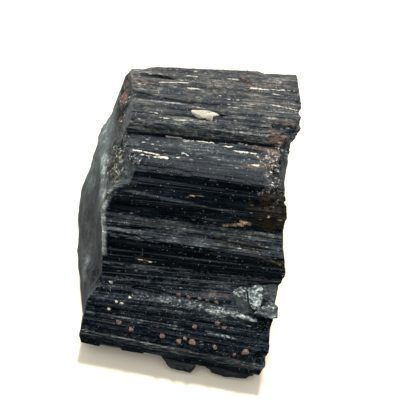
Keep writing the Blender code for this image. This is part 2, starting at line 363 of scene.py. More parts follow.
# strokes whose strength is their depth in mm; a negative depth is a raised line
GROOVES = {
    "gutter": ((-5.4, 0.58, 0.6, 0.4, 0.5, 0.55), (0.6, 0.38, 12.5, 0.14, 0.34, 0.22)),
    "gutter band_foot": ((-4.8, 0.12, 11.5, 0.8, (1.3, 1.1), -0.16),),
    "band_foot": (
        (11.5, 0.8, 19.2, 0.38, (1.1, 0.35), -0.2), (15.5, 0.75, 19.0, 0.62, 0.2, 0.25),
        (18.4, 0.6, 22.8, 0.36, (0.22, 0.7), 0.9),
    ),
    "crest": ((-6.5, 0.0, 18.5, 0.0, 1.3, 0.09), (-6.8, 0.86, -2.0, 0.84, 0.14, 0.12)),
    "gutter band_top": ((13.6, 0.88, 18.2, 0.3, 0.16, 0.25),),
    "riser_top": ((7.6, 0.7, 8.7, 0.68, 0.3, 0.6), (10.0, 0.3, 16.6, 0.22, 0.16, 0.12)),
    "top_groove": (
        (-9.5, 0.55, -3.0, 0.2, 0.55, 0.26), (-3.4, 0.25, 4.8, 0.02, 0.4, 0.26),
        (-9.0, 0.25, 9.0, 0.05, 0.45, 0.16),
    ),
    "far_groove": ((-8.8, 0.86, -1.8, 0.6, 0.4, 0.34), (10.8, 0.84, 13.4, 0.45, 0.42, 0.36)),
    "step_foot": ((-11.8, 0.3, -6.0, 0.2, 0.3, 0.3), (9.4, 0.95, 19.6, 0.55, 0.45, 0.35)),
    "top_groove_lip": ((3.0, 0.95, 8.5, 0.5, 0.24, 0.2),),
    "shelf": (
        (-2.6, 0.06, 1.6, 0.03, 0.18, 0.16), (8.6, 0.9, 16.4, 0.7, 0.18, 0.16),
        (-6.0, 0.02, 6.5, 0.1, 0.3, 0.12), (5.0, 0.8, 19.0, 0.55, 0.26, 0.08),
    ),
    "band_foot low_line": ((16.8, 0.02, 22.6, 0.7, 0.28, 0.3),),
    "far_edge": ((-7.5, 0.0, 14.5, 0.0, 2.4, -0.55),),
    "step_groove": ((-11.4, 0.04, -2.4, 0.17, 0.32, 0.28),),
    "bench_top gutter": ((-11.6, 0.11, 10.6, 0.97, 0.32, 0.24),),
    "thin_ridge": ((-11.4, 0.02, 6.0, 0.02, 0.3, -0.16),),
    "low_line": ((-13.9, 0.04, 3.8, 0.1, 0.26, -0.14),),
    "dark_line step_back": ((-8.0, 0.1, 12.0, 0.7, 0.4, -0.1),),
    "ridge_foot": ((-14.9, 0.97, 22.0, 0.92, 0.34, -0.1),),
    "gutter bench_top": ((13.5, 0.92, 22.6, 0.62, 0.4, 0.3),),
}


def bulge(face, place):
    """4 p (1 - p) times the face's own height, which turns a flat face into a low round one."""
    height = np.array([BULGES.get(name, 0.0) for name in EDGE_NAMES])
    return 4.0 * place * (1.0 - place) * height[face]


def groove_relief(x, s):
    """Minus the deepest stroke of those that cross a point, plus its highest raised line."""
    cut, raised = np.zeros(x.shape), np.zeros(x.shape)
    for start, end, width, depth in strokes_in(GROOVES):
        shape = depth * stroke(x, s, start, end, width, GROOVE_FADE)
        cut, raised = np.maximum(cut, shape), np.maximum(raised, -shape)
    return raised - cut


print(len(list(strokes_in(GROOVES))), "grooves and raised lines")

# %% [markdown]
# ## Rough noise
#
# Broken mineral is rough at every size, so its height is fractal noise: smooth random bumps,
# plus bumps half the size and half the height, and so on.

# %% Noise
NOISE_CELLS = 32  # cells before the noise repeats


def value_noise(points, seed):
    """Random numbers on whole-number corners, blended with 3t^2 - 2t^3 between them, -1 to 1."""
    table = np.random.default_rng(seed).uniform(-1.0, 1.0, (NOISE_CELLS,) * 3)
    cell = np.floor(points).astype(int)
    t = points - cell
    t = t * t * (3.0 - 2.0 * t)
    total = np.zeros(len(points))
    for corner in itertools.product((0, 1), repeat=3):
        weight = np.prod(np.where(np.array(corner) == 1, t, 1.0 - t), axis=1)
        x, y, z = ((cell + np.array(corner)) % NOISE_CELLS).T
        total += weight * table[x, y, z]
    return total


def fractal(points, size, octaves, seed):
    """Sum over octaves of value noise, each at half the size and half the height."""
    total = np.zeros(len(points))
    for octave in range(octaves):
        total += value_noise(points * (2.0**octave / np.array(size)), seed + octave) / 2.0**octave
    return total


print("noise repeats after", NOISE_CELLS, "cells")

# %% [markdown]
# ## Fractures
#
# Tourmaline breaks like glass or coal, in shallow shells with sharp ridges between them. So a
# fracture is a surface x(y, z) through the outline's end points, cut by large bowls, which are
# the solid's, and by the lower envelope of many little ones, which leaves just such ridges.

# %% Fracture surfaces
LEFT_HEART = (
    (-23.0, 14.0, 0.3), (-22.6, 8.0, 0.3), (-21.3, 2.6, 0.3), (-19.6, -3.0, 0.3), (-17.9, -8.7, 1.6),
    (-20.9, 14.0, 8.0), (-19.0, 2.0, 9.0), (-16.6, -9.0, 8.0), (-17.6, 13.5, 20.0), (-14.8, 2.0, 20.0),
    (-13.0, 15.0, 27.5), (-7.2, -1.4, 30.3), (-11.2, -2.5, 29.5),
)
RIGHT_HEART = (
    (22.3, 2.0, 10.0), (21.6, 12.0, 6.0), (21.9, 8.0, 21.0), (22.9, -8.0, 9.0), (21.2, 1.0, 2.0),
    (21.3, 14.0, 29.0), (21.6, 13.0, 18.0),
)
LEFT_BOWLS = (
    ((12.0, 11.0), 17.0, 0.6), ((-3.0, 12.0), 13.0, 0.9), ((13.0, 25.0), 12.0, 0.4),
    ((3.0, 3.0), 11.0, 0.6), ((-13.0, 7.5), 7.0, 0.5), ((18.0, 4.0), 8.0, 0.5),
)
RIGHT_BOWLS = (
    ((15.0, 26.0), 15.0, 1.6), ((2.0, 22.0), 12.0, 1.3), ((17.0, 10.0), 14.0, 1.5),
    ((4.0, 9.0), 12.0, 1.2), ((-8.0, 13.0), 9.0, 0.8), ((-14.0, 7.0), 9.0, 0.9),
    ((-5.0, 3.0), 8.0, 0.7), ((22.0, 19.0), 8.0, 0.8),
)
SHELL_SIZES = ((7.5, 0.42), (2.8, 0.10))  # spacing of the little bowls, and the height of their ridges


def little_shells(spot, spacing, height, seed):
    """min over bowls of (lift_i + cupping * |p - p_i|^2), less its mean: ridges between shells."""
    rng = np.random.default_rng(seed)
    y, z = np.meshgrid(np.arange(-30.0, 32.0, spacing), np.arange(-4.0, 42.0, spacing))
    centre = np.stack([y.ravel(), z.ravel()], 1) + rng.uniform(-0.45, 0.45, (y.size, 2)) * spacing
    lift = rng.uniform(0.0, height, len(centre))
    cupping = 2.0 * height / spacing**2
    away = ((spot[..., None, :] - centre) ** 2).sum(-1)
    return (lift + cupping * away).min(-1) - 0.7 * height


def fracture(side, heart, bowls, seed):
    """x of a fracture over (y, z): mean + sum of w_i * |p - p_i| through its points, then bowls."""
    ends = LEFT_ENDS if side == LEFT else RIGHT_ENDS
    points = np.vstack([ends, np.array(heart)])
    place, height = points[:, 1:], points[:, 0]
    spread = np.linalg.norm(place[:, None] - place[None], axis=-1)
    middle = height.mean()
    weights = np.linalg.solve(spread, height - middle)
    outward = -1.0 if side == LEFT else 1.0

    def surface(spot):
        return middle + np.linalg.norm(spot[..., None, :] - place, axis=-1) @ weights

    def x_at(spot):
        reach = outward * surface(spot)
        for centre, width, depth in bowls:
            centre = np.array(centre)
            around = centre + 0.25 * width * np.array([(1, 0), (-1, 0), (0, 1), (0, -1)])
            level = surface(around)
            slope = (level[::2] - level[1::2]) / (0.5 * width)
            away = spot - centre
            cup = depth * (4.0 * (away**2).sum(-1) / width**2 - 1.0)
            reach = np.minimum(reach, outward * (level.mean() + away @ slope) + cup)
        for number, (spacing, ridge) in enumerate(SHELL_SIZES):
            reach = reach + little_shells(spot, spacing, ridge, seed + number)
        return outward * reach

    return x_at


left_at = fracture(LEFT, LEFT_HEART, LEFT_BOWLS, 11)
right_at = fracture(RIGHT, RIGHT_HEART, RIGHT_BOWLS, 23)

# %% [markdown]
# ## The side of the prism
#
# The side is a grid: the columns run round the outline and the stations along X, from one
# fracture to the other. Each point is its face's flat place plus the relief along the face's
# own outward direction.

# %% Side grid
STATIONS, RIM_STEPS = 118, 6
NO_BEVEL = 99.0  # a gap far beyond the bevel
BEVEL_LENGTH, BEVEL_DEPTH = 1.3, 0.60
BEVEL_FROM, BEVEL_TO = way_round("thin_ridge", 0.28), way_round("dark_line", 0.15)
bevel = BEVEL_DEPTH * smooth(column_s, BEVEL_FROM - 0.25, BEVEL_FROM + 0.25)
bevel *= 1.0 - smooth(column_s, BEVEL_TO - 0.5, BEVEL_TO + 1.0)


def side_points(x, left_gap):
    """y and z of the columns at x: the flat face's point plus relief times its outward unit.

    Near the left fracture the relief drops in a straight bevel, by its share of left_gap, in mm.
    """
    start = edge_points(column_face, x)
    end = edge_points((column_face + 1) % len(EDGES), x)
    run = end - start
    outward = np.stack([-run[..., 1], run[..., 0]], -1) / np.linalg.norm(run, axis=-1)[..., None]
    s = np.broadcast_to(column_s, x.shape)
    relief = coarse_relief(x, s) + lath_relief(x, s) + groove_relief(x, s)
    relief += bulge(column_face, column_place)
    relief -= bevel * np.clip(1.0 - left_gap / BEVEL_LENGTH, 0.0, 1.0)
    return start + column_place[:, None] * run + relief[..., None] * outward


def rim(x_at, first_guess, left_gap):
    """x of every column where it meets a fracture, by repeated steps towards it."""
    x = np.full(len(column_face), first_guess)
    for _ in range(RIM_STEPS):
        x = x_at(side_points(x, left_gap))
    return x


left_x, right_x = rim(left_at, -15.0, 0.0), rim(right_at, 21.0, NO_BEVEL)
share = np.linspace(0.0, 1.0, STATIONS)[:, None]
side_x = left_x + share * (right_x - left_x)
side_yz = side_points(side_x, side_x - left_x)
side = np.concatenate([side_x[..., None], side_yz], -1)
side[..., 2] = np.maximum(side[..., 2], 0.0)
print("side grid", side.shape)

# %% Fracture points and faces
FRACTURE_SPACING, RIM_CLEAR = 0.56, 0.5


def inside(outline, spots):
    """Whether each spot is inside the closed outline: an odd number of edges lies to its right."""
    y0, z0 = outline.T
    y1, z1 = np.roll(outline, -1, 0).T
    y, z = spots[:, :1], spots[:, 1:]
    spans = (z0 > z) != (z1 > z)
    crossing = y0 + (z - z0) * (y1 - y0) / np.where(z1 == z0, 1.0, z1 - z0)
    return (spans & (crossing > y)).sum(1) % 2 == 1


def end_points(outline, seed):
    """A staggered grid of (y, z) spots inside the outline, shaken a little, clear of its edge."""
    rng = np.random.default_rng(seed)
    low, high = outline.min(0), outline.max(0)
    y, z = np.meshgrid(
        np.arange(low[0], high[0], FRACTURE_SPACING),
        np.arange(low[1], high[1], FRACTURE_SPACING * np.sqrt(0.75)),
    )
    y[::2] += FRACTURE_SPACING / 2
    spots = np.stack([y.ravel(), z.ravel()], 1)
    spots = spots + rng.uniform(-0.2, 0.2, spots.shape) * FRACTURE_SPACING
    gap = np.concatenate([np.linalg.norm(part[:, None] - outline, axis=-1).min(1)
                          for part in np.array_split(spots, 8)])
    return spots[(gap > RIM_CLEAR * FRACTURE_SPACING) & inside(outline, spots)]


def end_surface(ring, x_at, seed):
    """Inner points and triangles that fill a ring, numbered so that the ring's points come first."""
    outline = ring[:, 1:]
    spots = np.vstack([outline, end_points(outline, seed)])
    loop = [(i, (i + 1) % len(ring)) for i in range(len(ring))]
    made, _, triangles, sources, _, _ = delaunay_2d_cdt([Vector(s) for s in spots], loop, [], 1, 1e-7)
    number = np.array([min(source) if source else -1 for source in sources])
    extra = np.flatnonzero(number < 0)
    number[extra] = len(spots) + np.arange(len(extra))
    places = np.vstack([spots, np.array([made[i] for i in extra]).reshape(-1, 2)])
    inner = places[len(ring):]
    points = np.column_stack([x_at(inner), inner])
    return points, number[np.array(triangles)]


left_inner, left_faces = end_surface(side[0], left_at, 5)
right_inner, right_faces = end_surface(side[-1], right_at, 6)
print("fracture points", len(left_inner), "and", len(right_inner))

# %% [markdown]
# ## One closed skin
#
# The side and the two fractures share their rim points, so joined they are one closed skin.
# Chips, rough places and colour masks all work on its list of points.

# %% Join side and fractures
def ring_quads(rows, around):
    """The quads between rows of points that each run all the way round."""
    row, column = np.meshgrid(np.arange(rows - 1), np.arange(around), indexing="ij")
    here, after = row * around + column, row * around + (column + 1) % around
    return np.stack([here, here + around, after + around, after], -1).reshape(-1, 4)


columns = len(column_face)
grid_count = STATIONS * columns
points = np.vstack([side.reshape(-1, 3), left_inner, right_inner])
quads = ring_quads(STATIONS, columns)
number = np.arange(len(points))
left_map = np.concatenate([number[:columns], number[grid_count:]])
last_ring = number[grid_count - columns:grid_count]
right_map = np.concatenate([last_ring, number[grid_count + len(left_inner):]])
triangles = np.vstack([left_map[left_faces][:, ::-1], right_map[right_faces]])
point_s = np.concatenate([np.tile(column_s, STATIONS), np.full(len(points) - grid_count, -1.0)])
print(len(points), "points,", 2 * len(quads) + len(triangles), "triangles")


def unit(vectors):
    """Each row divided by its own length."""
    return vectors / np.maximum(np.linalg.norm(vectors, axis=-1), 1e-12)[..., None]


def point_normals(points):
    """Unit normal of each point: the sum of its faces' cross products, which weighs them by area."""
    total = np.zeros_like(points)
    for faces, a, b, c, d in ((quads, 0, 2, 1, 3), (triangles, 0, 1, 0, 2)):
        corner = points[faces]
        across = np.cross(corner[:, b] - corner[:, a], corner[:, d] - corner[:, c])
        for k, axis in itertools.product(range(faces.shape[1]), range(3)):
            total[:, axis] += np.bincount(faces[:, k], across[:, axis], len(points))
    return unit(total)


# %% [markdown]
# ## Chips and nicks
#
# Where a shell of crystal has flown off, the points inside an ellipsoid that dips into the
# surface are pushed inwards to its far wall. The edges between the faces never survive whole:
# along them the high places of a noise are sunk in.

# %% Chips
def scoop_depth(points, normals, centre, radii, deepest):
    """How far a line inwards along the normal runs before it leaves the ellipsoid, 0 outside it."""
    from_centre = (points - np.array(centre)) / np.array(radii)
    along = -normals / np.array(radii)
    a = (along**2).sum(1)
    b = 2.0 * (from_centre * along).sum(1)
    c = (from_centre**2).sum(1) - 1.0
    depth = (-b + np.sqrt(np.maximum(b**2 - 4.0 * a * c, 0.0))) / (2.0 * a)
    return np.where(c < 0.0, np.clip(depth, 0.0, deepest), 0.0)


# centre, radii and greatest depth
CHIPS = (
    ((20.2, 2.2, 34.6), (3.4, 3.6, 2.6), 1.2),
    ((16.6, 1.4, 34.2), (1.6, 1.8, 1.5), 0.4),
    ((-16.4, 20.2, 23.4), (1.7, 3.6, 3.8), 0.8),
    ((-12.8, -14.6, 14.8), (1.8, 1.3, 1.4), 0.9),
    ((20.9, -23.7, 8.2), (1.7, 1.6, 1.8), 0.9),
    ((22.6, -24.9, 2.6), (1.8, 1.4, 2.0), 0.8),
    ((-7.4, 0.6, 33.2), (2.0, 1.8, 1.6), 0.8),
    ((19.0, 10.9, 36.6), (2.6, 1.3, 1.4), 0.7),
    ((21.3, -18.6, 12.2), (2.6, 1.0, 0.9), 1.0),
)
for centre, radii, deepest in CHIPS:
    normals = point_normals(points)
    points = points - scoop_depth(points, normals, centre, radii, deepest)[:, None] * normals
print(len(CHIPS), "large chips")

# %% Worn edges: edge, half width and depth of the wear
WORN = (
    ("crest", 0.8, 0.16), ("riser_top", 0.5, 0.25), ("crack_lip", 0.4, 0.25), ("step_foot", 0.6, 0.30),
    ("thin_ridge", 0.5, 0.30), ("step_back", 0.5, 0.25),
    ("ridge_top", 0.4, 0.20), ("ridge_foot", 0.4, 0.15),
    ("bench_top", 0.5, 0.25), ("band_top", 0.6, 0.30), ("lip", 1.0, 0.60), ("far_edge", 0.8, 0.40),
    ("top_groove_lip", 0.4, 0.20), ("low_line", 0.4, 0.25),
)


def wear(points, s):
    """Depth times a band round each edge times the high places of noise that is longer along x."""
    holes = smooth(fractal(points, (1.6, 0.7, 0.7), 3, 53), 0.05, 0.6)
    total = np.zeros(len(points))
    for name, width, depth in WORN:
        band = 1.0 - smooth(np.abs(s - way_round(name, 0.0)), 0.3 * width, width)
        total = np.maximum(total, depth * band * holes)
    return total


points = points - wear(points, point_s)[:, None] * point_normals(points)
print(len(WORN), "worn edges")

# %% Rough places: centre, radii, height
ROUGH = (
    ((-9.6, 2.6, 29.6), (4.2, 7.0, 5.6), 0.55),
    ((-12.2, 16.5, 31.0), (3.2, 8.5, 6.0), 0.50),
    ((20.8, 2.5, 29.5), (4.0, 8.5, 6.5), 0.42),
    ((22.5, 14.0, 33.0), (2.4, 12.0, 3.6), 0.34),
    ((22.0, -3.5, 25.0), (2.0, 4.0, 6.0), 0.30),
    ((22.0, -23.5, 6.5), (2.2, 2.0, 2.6), 0.26),
    ((23.2, -19.5, 11.0), (1.6, 5.0, 4.0), 0.25),
    ((-12.8, -14.0, 11.0), (3.2, 5.5, 5.0), 0.20),
    ((19.0, -15.0, 14.5), (4.4, 3.2, 3.0), 0.16),
)
ROUGH_SIZE, PEAK = 1.1, 0.45
GRAIN_SIZE, GRAIN_HEIGHT = 0.8, (0.07, 0.014)  # heights on the fractures and on the side


def from_heart(points, centre, radii):
    """Distance from an ellipsoid's middle: 1 on its wall."""
    return np.linalg.norm((points - np.array(centre)) / np.array(radii), axis=1)


def rough_share(points):
    """1 in the heart of a rough place, fading to 0 at its ellipsoid's wall, times its height."""
    total = np.zeros(len(points))
    for centre, radii, height in ROUGH:
        total = np.maximum(total, height * (1.0 - smooth(from_heart(points, centre, radii), 0.6, 1.0)))
    return total


rough = rough_share(points)
grain_height = np.where(point_s < 0.0, *GRAIN_HEIGHT)
off_table = smooth(points[:, 2], 0.02, 0.8)
shift = rough * np.minimum(fractal(points, (ROUGH_SIZE,) * 3, 4, 61), PEAK)
shift += grain_height * fractal(points, (GRAIN_SIZE,) * 3, 3, 71)
points = points + (off_table * shift)[:, None] * point_normals(points)
points[:, 2] = np.maximum(points[:, 2], 0.0)
print("rough points", int((rough > 0.05).sum()))

# %% [markdown]
# ## Film, streaks, stains and painted light
#
# The stone is black. What shows on it is a thin film: weathered flats and ledges are grey with
# dust and tiny pits, and steep clean faces stay black. Along raised ridges the film is raised
# to paint their highlights, and in grooves it is taken away to paint their shade. Other minerals
# follow the laths in streaks. Each is a number from 0 to 1 on the mesh's points, which the
# material turns into colour.

# %% Film over the faces
# film at the left and right ends of each face's first edge, then of its last edge, in percent
FILM = {
    # ridge_foot's high film is partly dust and partly paints the highlight along the front ridge
    "lip": (6, 2, 3, 4), "ridge_foot": (6, 20, 6, 18), "ridge_top": (5, 6, 1, 2),
    "low_line": (3, 5, 2.5, 4), "band_foot": (4, 8, 6, 10), "band_top": (7, 11, 8, 11),
    "gutter": (5, 6, 4, 7), "bench_top": (3, 18, 2, 6), "thin_ridge": (1, 2, 0.4, 1),
    "step_foot": (7, 12, 11, 10), "step_groove": (9, 17, 7, 18), "step_back": (2.2, 2.4, 0.5, 1.2),
    "dark_line": (2, 1.6, 0.6, 0.8), "crest": (4, 4, 8, 9), "shelf": (8, 10, 12, 12),
    "crack_lip": (3, 3, 0.5, 0.5), "crack_floor": (0.5, 0.5, 3, 3), "riser_foot": (16, 28, 16, 26),
    "riser_top": (18, 20, 15, 18), "top_groove_lip": (20, 10, 15, 7), "top_groove": (22, 18, 24, 19),
    "far_groove": (23, 18, 22, 18), "far_shoulder": (22, 15, 14, 9),
}
FILM_BEHIND = (9, 9, 9, 9)
FILM_LEFT, FILM_RIGHT = -10.0, 21.0


def face_film(face, place, x):
    """Straight-line mix of a face's four film values by its place across and by x."""
    table = 0.01 * np.array([FILM.get(name, FILM_BEHIND) for name in EDGE_NAMES])[face]
    along = np.clip((x - FILM_LEFT) / (FILM_RIGHT - FILM_LEFT), 0.0, 1.0)
    first = table[..., 0] + along * (table[..., 1] - table[..., 0])
    last = table[..., 2] + along * (table[..., 3] - table[..., 2])
    return first + place * (last - first)


tile_face, tile_place = np.tile(column_face, STATIONS), np.tile(column_place, STATIONS)
side_spot, side_s = points[:grid_count], point_s[:grid_count]
flat_x = side_x.ravel()
long_noise = fractal(side_spot, (7.0, 0.5, 0.5), 4, 83)
fine_noise = fractal(side_spot, (1.6, 0.3, 0.3), 3, 89)
cloud_noise = fractal(side_spot, (5.0, 2.5, 2.5), 4, 97)
tone = 0.45 + 1.1 * lath_tone(flat_x, side_s)
film_side = face_film(tile_face, tile_place, flat_x)
film_side = film_side * tone * (1.0 + 0.45 * long_noise + 0.25 * fine_noise + 0.35 * cloud_noise)
print(len(FILM), "faces with a film of their own")

# %% Strokes of film, streaks, stains and painted ridge highlights
STROKE_FADE = 0.5
# pale lines of film along the raised ridges, which paint their highlights
PAINTED_RIDGE_HIGHLIGHTS = {
    "ridge_foot": (
        (-14.9, 0.95, 8.0, 0.9, 0.24, 0.42), (8.0, 0.9, 22.0, 0.92, 0.24, 0.28),
        (-14.9, 0.55, 7.0, 0.6, 0.2, 0.3),
    ),
    "low_line": ((-13.9, 0.04, 4.0, 0.12, 0.26, 0.22),),
    "thin_ridge": ((-11.4, 0.02, 6.0, 0.02, 0.26, 0.16),),
    "dark_line step_back": ((-8.0, 0.1, 12.0, 0.7, 0.3, 0.12),),
}
CREAM = {
    "far_groove": (
        (-4.9, 0.29, 1.2, 0.39, 0.19, 1.0), (0.8, 0.06, 4.2, 0.03, 0.17, 1.0),
        (0.4, 0.9, 2.9, 0.84, 0.16, 1.0), (8.2, 0.81, 10.5, 0.77, 0.16, 1.0),
        (12.9, 0.29, 21.3, 0.29, 0.19, 1.0), (17.0, 0.06, 19.9, 0.0, 0.14, 1.0),
    ),
    "top_groove_lip": ((-2.9, 0.42, -2.3, 0.17, 0.22, 1.0),),
    "riser_top": (
        (-4.5, 0.53, -3.2, 0.53, 0.22, 1.0), (-3.7, 0.3, -1.1, 0.27, 0.13, 1.0),
        (-0.9, 0.23, 3.3, 0.27, 0.13, 1.0),
    ),
    "top_groove_lip riser_top": ((2.5, 0.5, 5.1, 0.97, 0.14, 1.0),),
    "far_edge": ((6.0, 0.0, 7.4, 0.0, 0.2, 1.0),),
    "far_edge far_shoulder": ((8.2, 0.0, 9.7, 0.81, 0.2, 1.0),),
    "top_groove": ((17.4, 0.39, 22.2, 0.19, 0.14, 1.0),),
    "shelf": (
        (-7.6, 0.03, -5.5, 0.03, 0.28, 1.0), (1.7, 0.2, 3.1, 0.1, 0.3, 0.9),
        (-6.2, 0.6, -2.6, 0.47, 0.18, 0.8), (1.7, 0.93, 5.8, 0.97, 0.2, 0.8),
        (9.3, 0.83, 11.4, 0.83, 0.34, 0.9), (11.6, 0.6, 16.0, 0.57, 0.3, 0.9),
    ),
    "shelf crest": ((-5.2, 0.0, -2.3, 0.9, 0.28, 1.0),),
    "crest": (
        (-6.5, 0.77, -3.3, 0.77, 0.16, 0.8), (-3.5, 0.77, -0.4, 0.8, 0.36, 1.0),
        (-0.3, 0.83, 1.7, 0.87, 0.22, 0.9), (14.9, 0.93, 16.3, 0.9, 0.42, 0.9),
        (12.9, 0.87, 14.5, 0.87, 0.2, 0.7),
    ),
    "crack_floor": ((-1.8, 0.17, 1.3, 0.17, 0.34, 1.0), (-8.0, 0.33, -6.6, 0.17, 0.2, 0.8)),
    "crack_lip shelf": ((5.1, 0.0, 7.7, 0.93, 0.26, 0.9),),
    "crack_floor crack_lip": ((11.4, 0.33, 13.9, 0.6, 0.3, 0.8),),
    "riser_foot": ((16.5, 0.65, 17.8, 0.65, 0.2, 0.9),),
}
IRON = {
    "riser_top": ((-12.0, 0.9, -8.6, 0.7, 1.3, 0.9), (17.4, 0.53, 22.4, 0.57, 0.22, 1.0)),
    "far_groove": ((-13.0, 0.5, -5.0, 0.22, 0.45, 0.8), (11.0, 0.95, 13.6, 0.34, 0.55, 0.8)),
    "riser_top riser_foot": ((17.0, 0.1, 21.0, 0.5, 0.5, 0.8),),
    "gutter": ((9.2, 0.62, 13.4, 0.46, 0.5, 0.35),),
    "crack_lip shelf": ((15.0, 0.2, 20.0, 0.6, 0.7, 0.6),),
    "crest": ((13.0, 0.8, 19.5, 0.95, 0.7, 0.45),),
}
GOLD = {
    "thin_ridge": ((-5.0, 0.27, -1.8, 0.21, 0.14, 0.7), (18.0, 0.91, 22.6, 0.72, 0.36, 0.3)),
    "step_back": ((11.0, 0.08, 15.8, 0.3, 0.5, 0.7),),
    "dark_line": ((3.8, 0.19, 6.6, 0.22, 0.16, 0.55),),
}
AMBER = {
    "step_foot": ((9.4, 0.95, 19.6, 0.55, 0.55, 0.9),),
    "thin_ridge": ((16.5, 0.93, 23.0, 0.72, 0.6, 0.9),),
}
# ribbons of pale film, whose strength is the film, and whose half width changes along them
RIBBONS = {
    "gutter": ((-5.2, 0.14, 2.0, 0.05, (1.2, 1.4), 0.15),),
    "gutter band_foot": ((1.0, 0.06, 11.6, 0.8, (1.45, 1.35), 0.34),),
    "band_foot": ((11.0, 0.82, 19.3, 0.4, (1.35, 0.45), 0.52),),
    "low_line": ((9.6, 0.12, 15.4, 0.02, (0.35, 0.3), 0.28),),
    "ridge_foot": ((15.0, 0.55, 21.8, 0.5, (0.8, 0.5), 0.2),),
}


def strokes(table, seed, ragged, full=False):
    """Greatest of a table's strokes, torn by fine noise, each at its strength or at full strength."""
    total = np.zeros(grid_count)
    tear = fractal(side_spot, (0.8, 0.25, 0.25), 3, seed)
    for start, end, width, strength in strokes_in(table):
        mask = stroke(flat_x, side_s, start, end, width, STROKE_FADE)
        torn = smooth(mask + ragged * tear * (mask > 0.02), 0.25, 0.75)
        total = np.maximum(total, torn if full else strength * torn)
    return total


ribbons = strokes(RIBBONS, 102, 0.12, full=True)
# film raised along the ridges: painted highlights
film_side = np.maximum(film_side, strokes(PAINTED_RIDGE_HIGHLIGHTS, 101, 0.45))
film_side = film_side + ribbons * (strokes(RIBBONS, 102, 0.12) - film_side)
# the film is taken away in the grooves, the more the deeper they are, which paints shade in them
film_side *= 1.0 - 0.85 * np.clip(-groove_relief(flat_x, side_s) / 0.22, 0.0, 1.0)
print("film on the side", film_side.min().round(2), "to", film_side.max().round(2))

# %% Film on the left fracture
BEVEL_FILM = 0.80
# blotches: y, z, radius, film
BLOTCHES = (
    (18.0, 30.0, 3.5, 0.34), (14.5, 23.0, 2.2, 0.5), (10.4, 19.0, 2.4, 0.28), (13.0, 28.0, 2.6, 0.14),
    (7.8, 23.2, 0.9, 0.85), (5.1, 23.8, 0.9, 0.85), (2.9, 23.8, 0.9, 0.8), (0.9, 23.6, 0.9, 0.8),
    (-1.2, 25.0, 0.8, 0.8), (4.0, 20.4, 2.0, 0.16), (12.9, 10.0, 2.2, 0.34), (8.6, 14.6, 1.6, 0.42),
    (5.4, 18.0, 1.2, 0.34), (5.0, 11.0, 2.6, 0.16), (1.0, 15.0, 2.6, 0.15), (-1.8, 17.0, 2.2, 0.1),
    (-1.0, 8.0, 2.6, 0.14), (-5.7, 10.6, 2.2, 0.18), (-7.0, 8.6, 0.9, 0.5), (-9.3, 6.4, 1.2, 0.42),
    (-12.6, 5.6, 1.6, 0.08), (-5.0, 17.5, 2.2, 0.1), (-9.0, 12.6, 1.8, 0.05), (-10.6, 10.2, 1.7, 0.01),
    (-12.7, 12.0, 2.6, 0.02), (-16.5, 12.5, 2.6, 0.05), (-19.5, 9.0, 2.0, 0.24), (-20.0, 5.0, 2.0, 0.1),
    (14.0, 5.0, 3.0, 0.2), (0.0, 27.5, 2.0, 0.2),
)


def blotches(spot):
    """Mean of the blotches' film, each weighing 1 / (1 + (distance / radius)^4)."""
    y, z, radii, films = np.array(BLOTCHES).T
    away = np.linalg.norm(spot[:, None] - np.stack([y, z], 1), axis=-1) / radii
    weight = 1.0 / (0.02 + away**4)
    return weight @ films / weight.sum(1)


def on_all(side_values, end_values=0.0):
    """One list for the whole skin: the side's values and then the fractures'."""
    return np.concatenate([side_values, np.broadcast_to(end_values, len(points) - grid_count)])


end_spot = points[grid_count:]
end_film = np.where(end_spot[:, 0] < 0.0, blotches(end_spot[:, 1:]), 0.06)
end_film = 0.82 * end_film * (1.0 + 0.35 * fractal(end_spot, (2.6, 2.0, 2.0), 5, 113))
bevel_share = np.tile(bevel / BEVEL_DEPTH, STATIONS)
bevel_share = bevel_share * (1.0 - smooth((side_x - left_x).ravel(), 0.5, 1.1))
film_side = film_side + bevel_share * (BEVEL_FILM - film_side)
film = on_all(film_side, end_film)
worn = smooth(fractal(points, (0.9, 0.9, 0.9), 3, 127), -0.2, 0.6)
film = np.where(rough > 0.02, film * (1.0 - 0.5 * worn), film)
print("film", film.min().round(2), "to", film.max().round(2))

# %% Broken zones and patches
# share of each face, in percent, that is broken into little facets instead of ribs
GRIT = {
    "lip": 25, "ridge_foot": 10, "ridge_top": 75, "low_line": 75, "band_foot": 70, "band_top": 70,
    "gutter": 75, "bench_top": 35, "thin_ridge": 20, "step_foot": 55, "step_groove": 60, "step_back": 30,
    "dark_line": 25, "crest": 45, "shelf": 45, "riser_foot": 45, "riser_top": 35, "top_groove_lip": 45,
    "far_groove": 45, "far_shoulder": 50,
}
